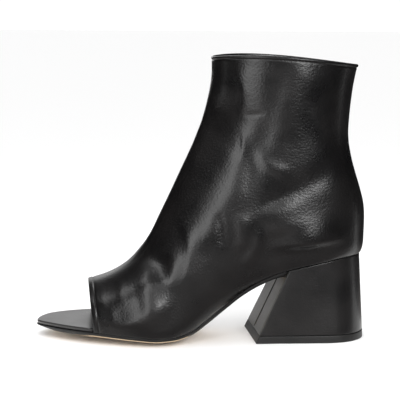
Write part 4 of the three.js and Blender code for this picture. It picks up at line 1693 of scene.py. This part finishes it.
def soft_box(name, azimuth, distance, height, tilt, size, radiance, fade):
    """A light round the boot that fades towards its edges. azimuth 0 is in front of the lateral side
    and grows towards the toe. tilt turns it down, in degrees; size is its width and height in metres
    and fade the share of each over which it dies away."""
    around = math.radians(azimuth)
    down = math.radians(tilt)
    way = Vector((-math.sin(around), -math.cos(around), 0))
    light = bpy.data.lights.new(name, "AREA")
    light.shape = "RECTANGLE"
    light.size, light.size_y = size
    light.energy = radiance * math.pi * size[0] * size[1]
    light.use_nodes = True
    tree = light.node_tree
    tree.nodes.clear()
    parts = separated(tree, node(tree, "ShaderNodeNewGeometry").outputs["Parametric"])
    strength = 1.0
    for i, share in enumerate(fade):
        off_middle = maths(tree, "ABSOLUTE", maths(tree, "SUBTRACT", parts[i], 0.5))
        mask = smooth_range(tree, off_middle, 0.5, 0.5 - share)
        strength = maths(tree, "MULTIPLY", mask, strength)
    glow = node(tree, "ShaderNodeEmission", {"Color": colour(1, 1, 1), "Strength": strength})
    output = tree.nodes.new("ShaderNodeOutputLight")
    tree.links.new(glow.outputs[0], output.inputs["Surface"])
    lamp = bpy.data.objects.new(name, light)
    lamp.location = way * distance + Vector((0, 0, height))
    facing = way * math.cos(down) + Vector((0, 0, math.sin(down)))
    lamp.rotation_euler = facing.to_track_quat("Z", "Y").to_euler()
    lamp.visible_camera = False
    bpy.context.collection.objects.link(lamp)


backdrop_glow = 1.07
least_glow = 0.01  # what the leather reflects of the dark parts of the studio


def studio_world():
    """White round the boot. The polished leather reflects a white backdrop behind the toe and a dim
    front."""
    world = bpy.data.worlds.new("studio")
    bpy.context.scene.world = world
    world.use_nodes = True
    tree = world.node_tree
    tree.nodes.clear()
    way = separated(tree, node(tree, "ShaderNodeTexCoord").outputs["Generated"])
    behind = smooth_range(tree, way["Y"], 0.84, 0.99, 0.0, 0.8)
    toeward = smooth_range(tree, way["X"], 0.30, 0.0, 0.03, 1.0)
    above = smooth_range(tree, way["Z"], 0.55, 0.95, 0.0, 0.30)
    front = smooth_range(tree, way["Y"], -0.75, -0.97, 0.0, 0.08)
    white = maths(tree, "MAXIMUM", maths(tree, "MULTIPLY", behind, toeward), above)
    strength = maths(tree, "ADD", maths(tree, "MAXIMUM", white, front), least_glow)
    mirrored = node(tree, "ShaderNodeLightPath").outputs["Is Glossy Ray"]
    reflected = node(tree, "ShaderNodeBackground", {"Color": colour(1, 1, 1), "Strength": strength})
    shown = node(tree, "ShaderNodeBackground", {"Color": colour(1, 1, 1), "Strength": backdrop_glow})
    both = node(tree, "ShaderNodeMixShader", {0: mirrored, 1: shown.outputs[0], 2: reflected.outputs[0]})
    output = tree.nodes.new("ShaderNodeOutputWorld")
    tree.links.new(both.outputs[0], output.inputs["Surface"])


def photo_camera():
    """Camera of the photograph: its azimuth, elevation and roll, and the boot's size in the frame."""
    target = Vector((-0.96, -2.25, 102.6)) / mm_per_metre  # middle of the frame
    azimuth = math.radians(-5.5)
    elevation = math.radians(7.6)
    roll = math.radians(0.36)
    distance = 1.0
    focal_pixels = 1345.2
    photo_width = 400
    back = Vector((
        math.sin(azimuth) * math.cos(elevation),
        -math.cos(azimuth) * math.cos(elevation),
        math.sin(elevation),
    ))
    right = Vector((math.cos(azimuth), math.sin(azimuth), 0))
    up = back.cross(right)
    rolled_right = right * math.cos(roll) + up * math.sin(roll)
    rolled_up = up * math.cos(roll) - right * math.sin(roll)
    lens = bpy.data.cameras.new("camera")
    lens.sensor_width = 36
    lens.lens = focal_pixels / photo_width * lens.sensor_width
    lens.clip_start = 0.05
    camera = bpy.data.objects.new("camera", lens)
    turned = Matrix((rolled_right, rolled_up, back)).transposed().to_4x4()
    camera.matrix_world = Matrix.Translation(target + back * distance) @ turned
    bpy.context.collection.objects.link(camera)
    bpy.context.scene.camera = camera


stage_floor()
studio_world()
soft_box("toe_side_box", azimuth=29, distance=0.62, height=0.36, tilt=8, size=(0.38, 0.80),
         radiance=3.4, fade=(0.3, 0.15))
soft_box("front_box", azimuth=-24, distance=0.80, height=0.42, tilt=13, size=(0.54, 0.50),
         radiance=11.5, fade=(0.45, 0.3))
soft_box("fill_box", azimuth=6, distance=0.72, height=0.42, tilt=14, size=(0.36, 0.50),
         radiance=0.9, fade=(0.3, 0.3))
soft_box("toe_top_box", azimuth=70, distance=0.50, height=0.75, tilt=55, size=(0.56, 0.46),
         radiance=2.5, fade=(0.3, 0.3))
soft_box("medial_top_box", azimuth=185, distance=0.58, height=0.68, tilt=40, size=(0.70, 0.50),
         radiance=2.6, fade=(0.35, 0.35))
soft_box("medial_box", azimuth=175, distance=0.80, height=0.42, tilt=18, size=(0.60, 0.56),
         radiance=0.6, fade=(0.35, 0.35))
photo_camera()
bpy.context.scene.view_settings.view_transform = "Standard"
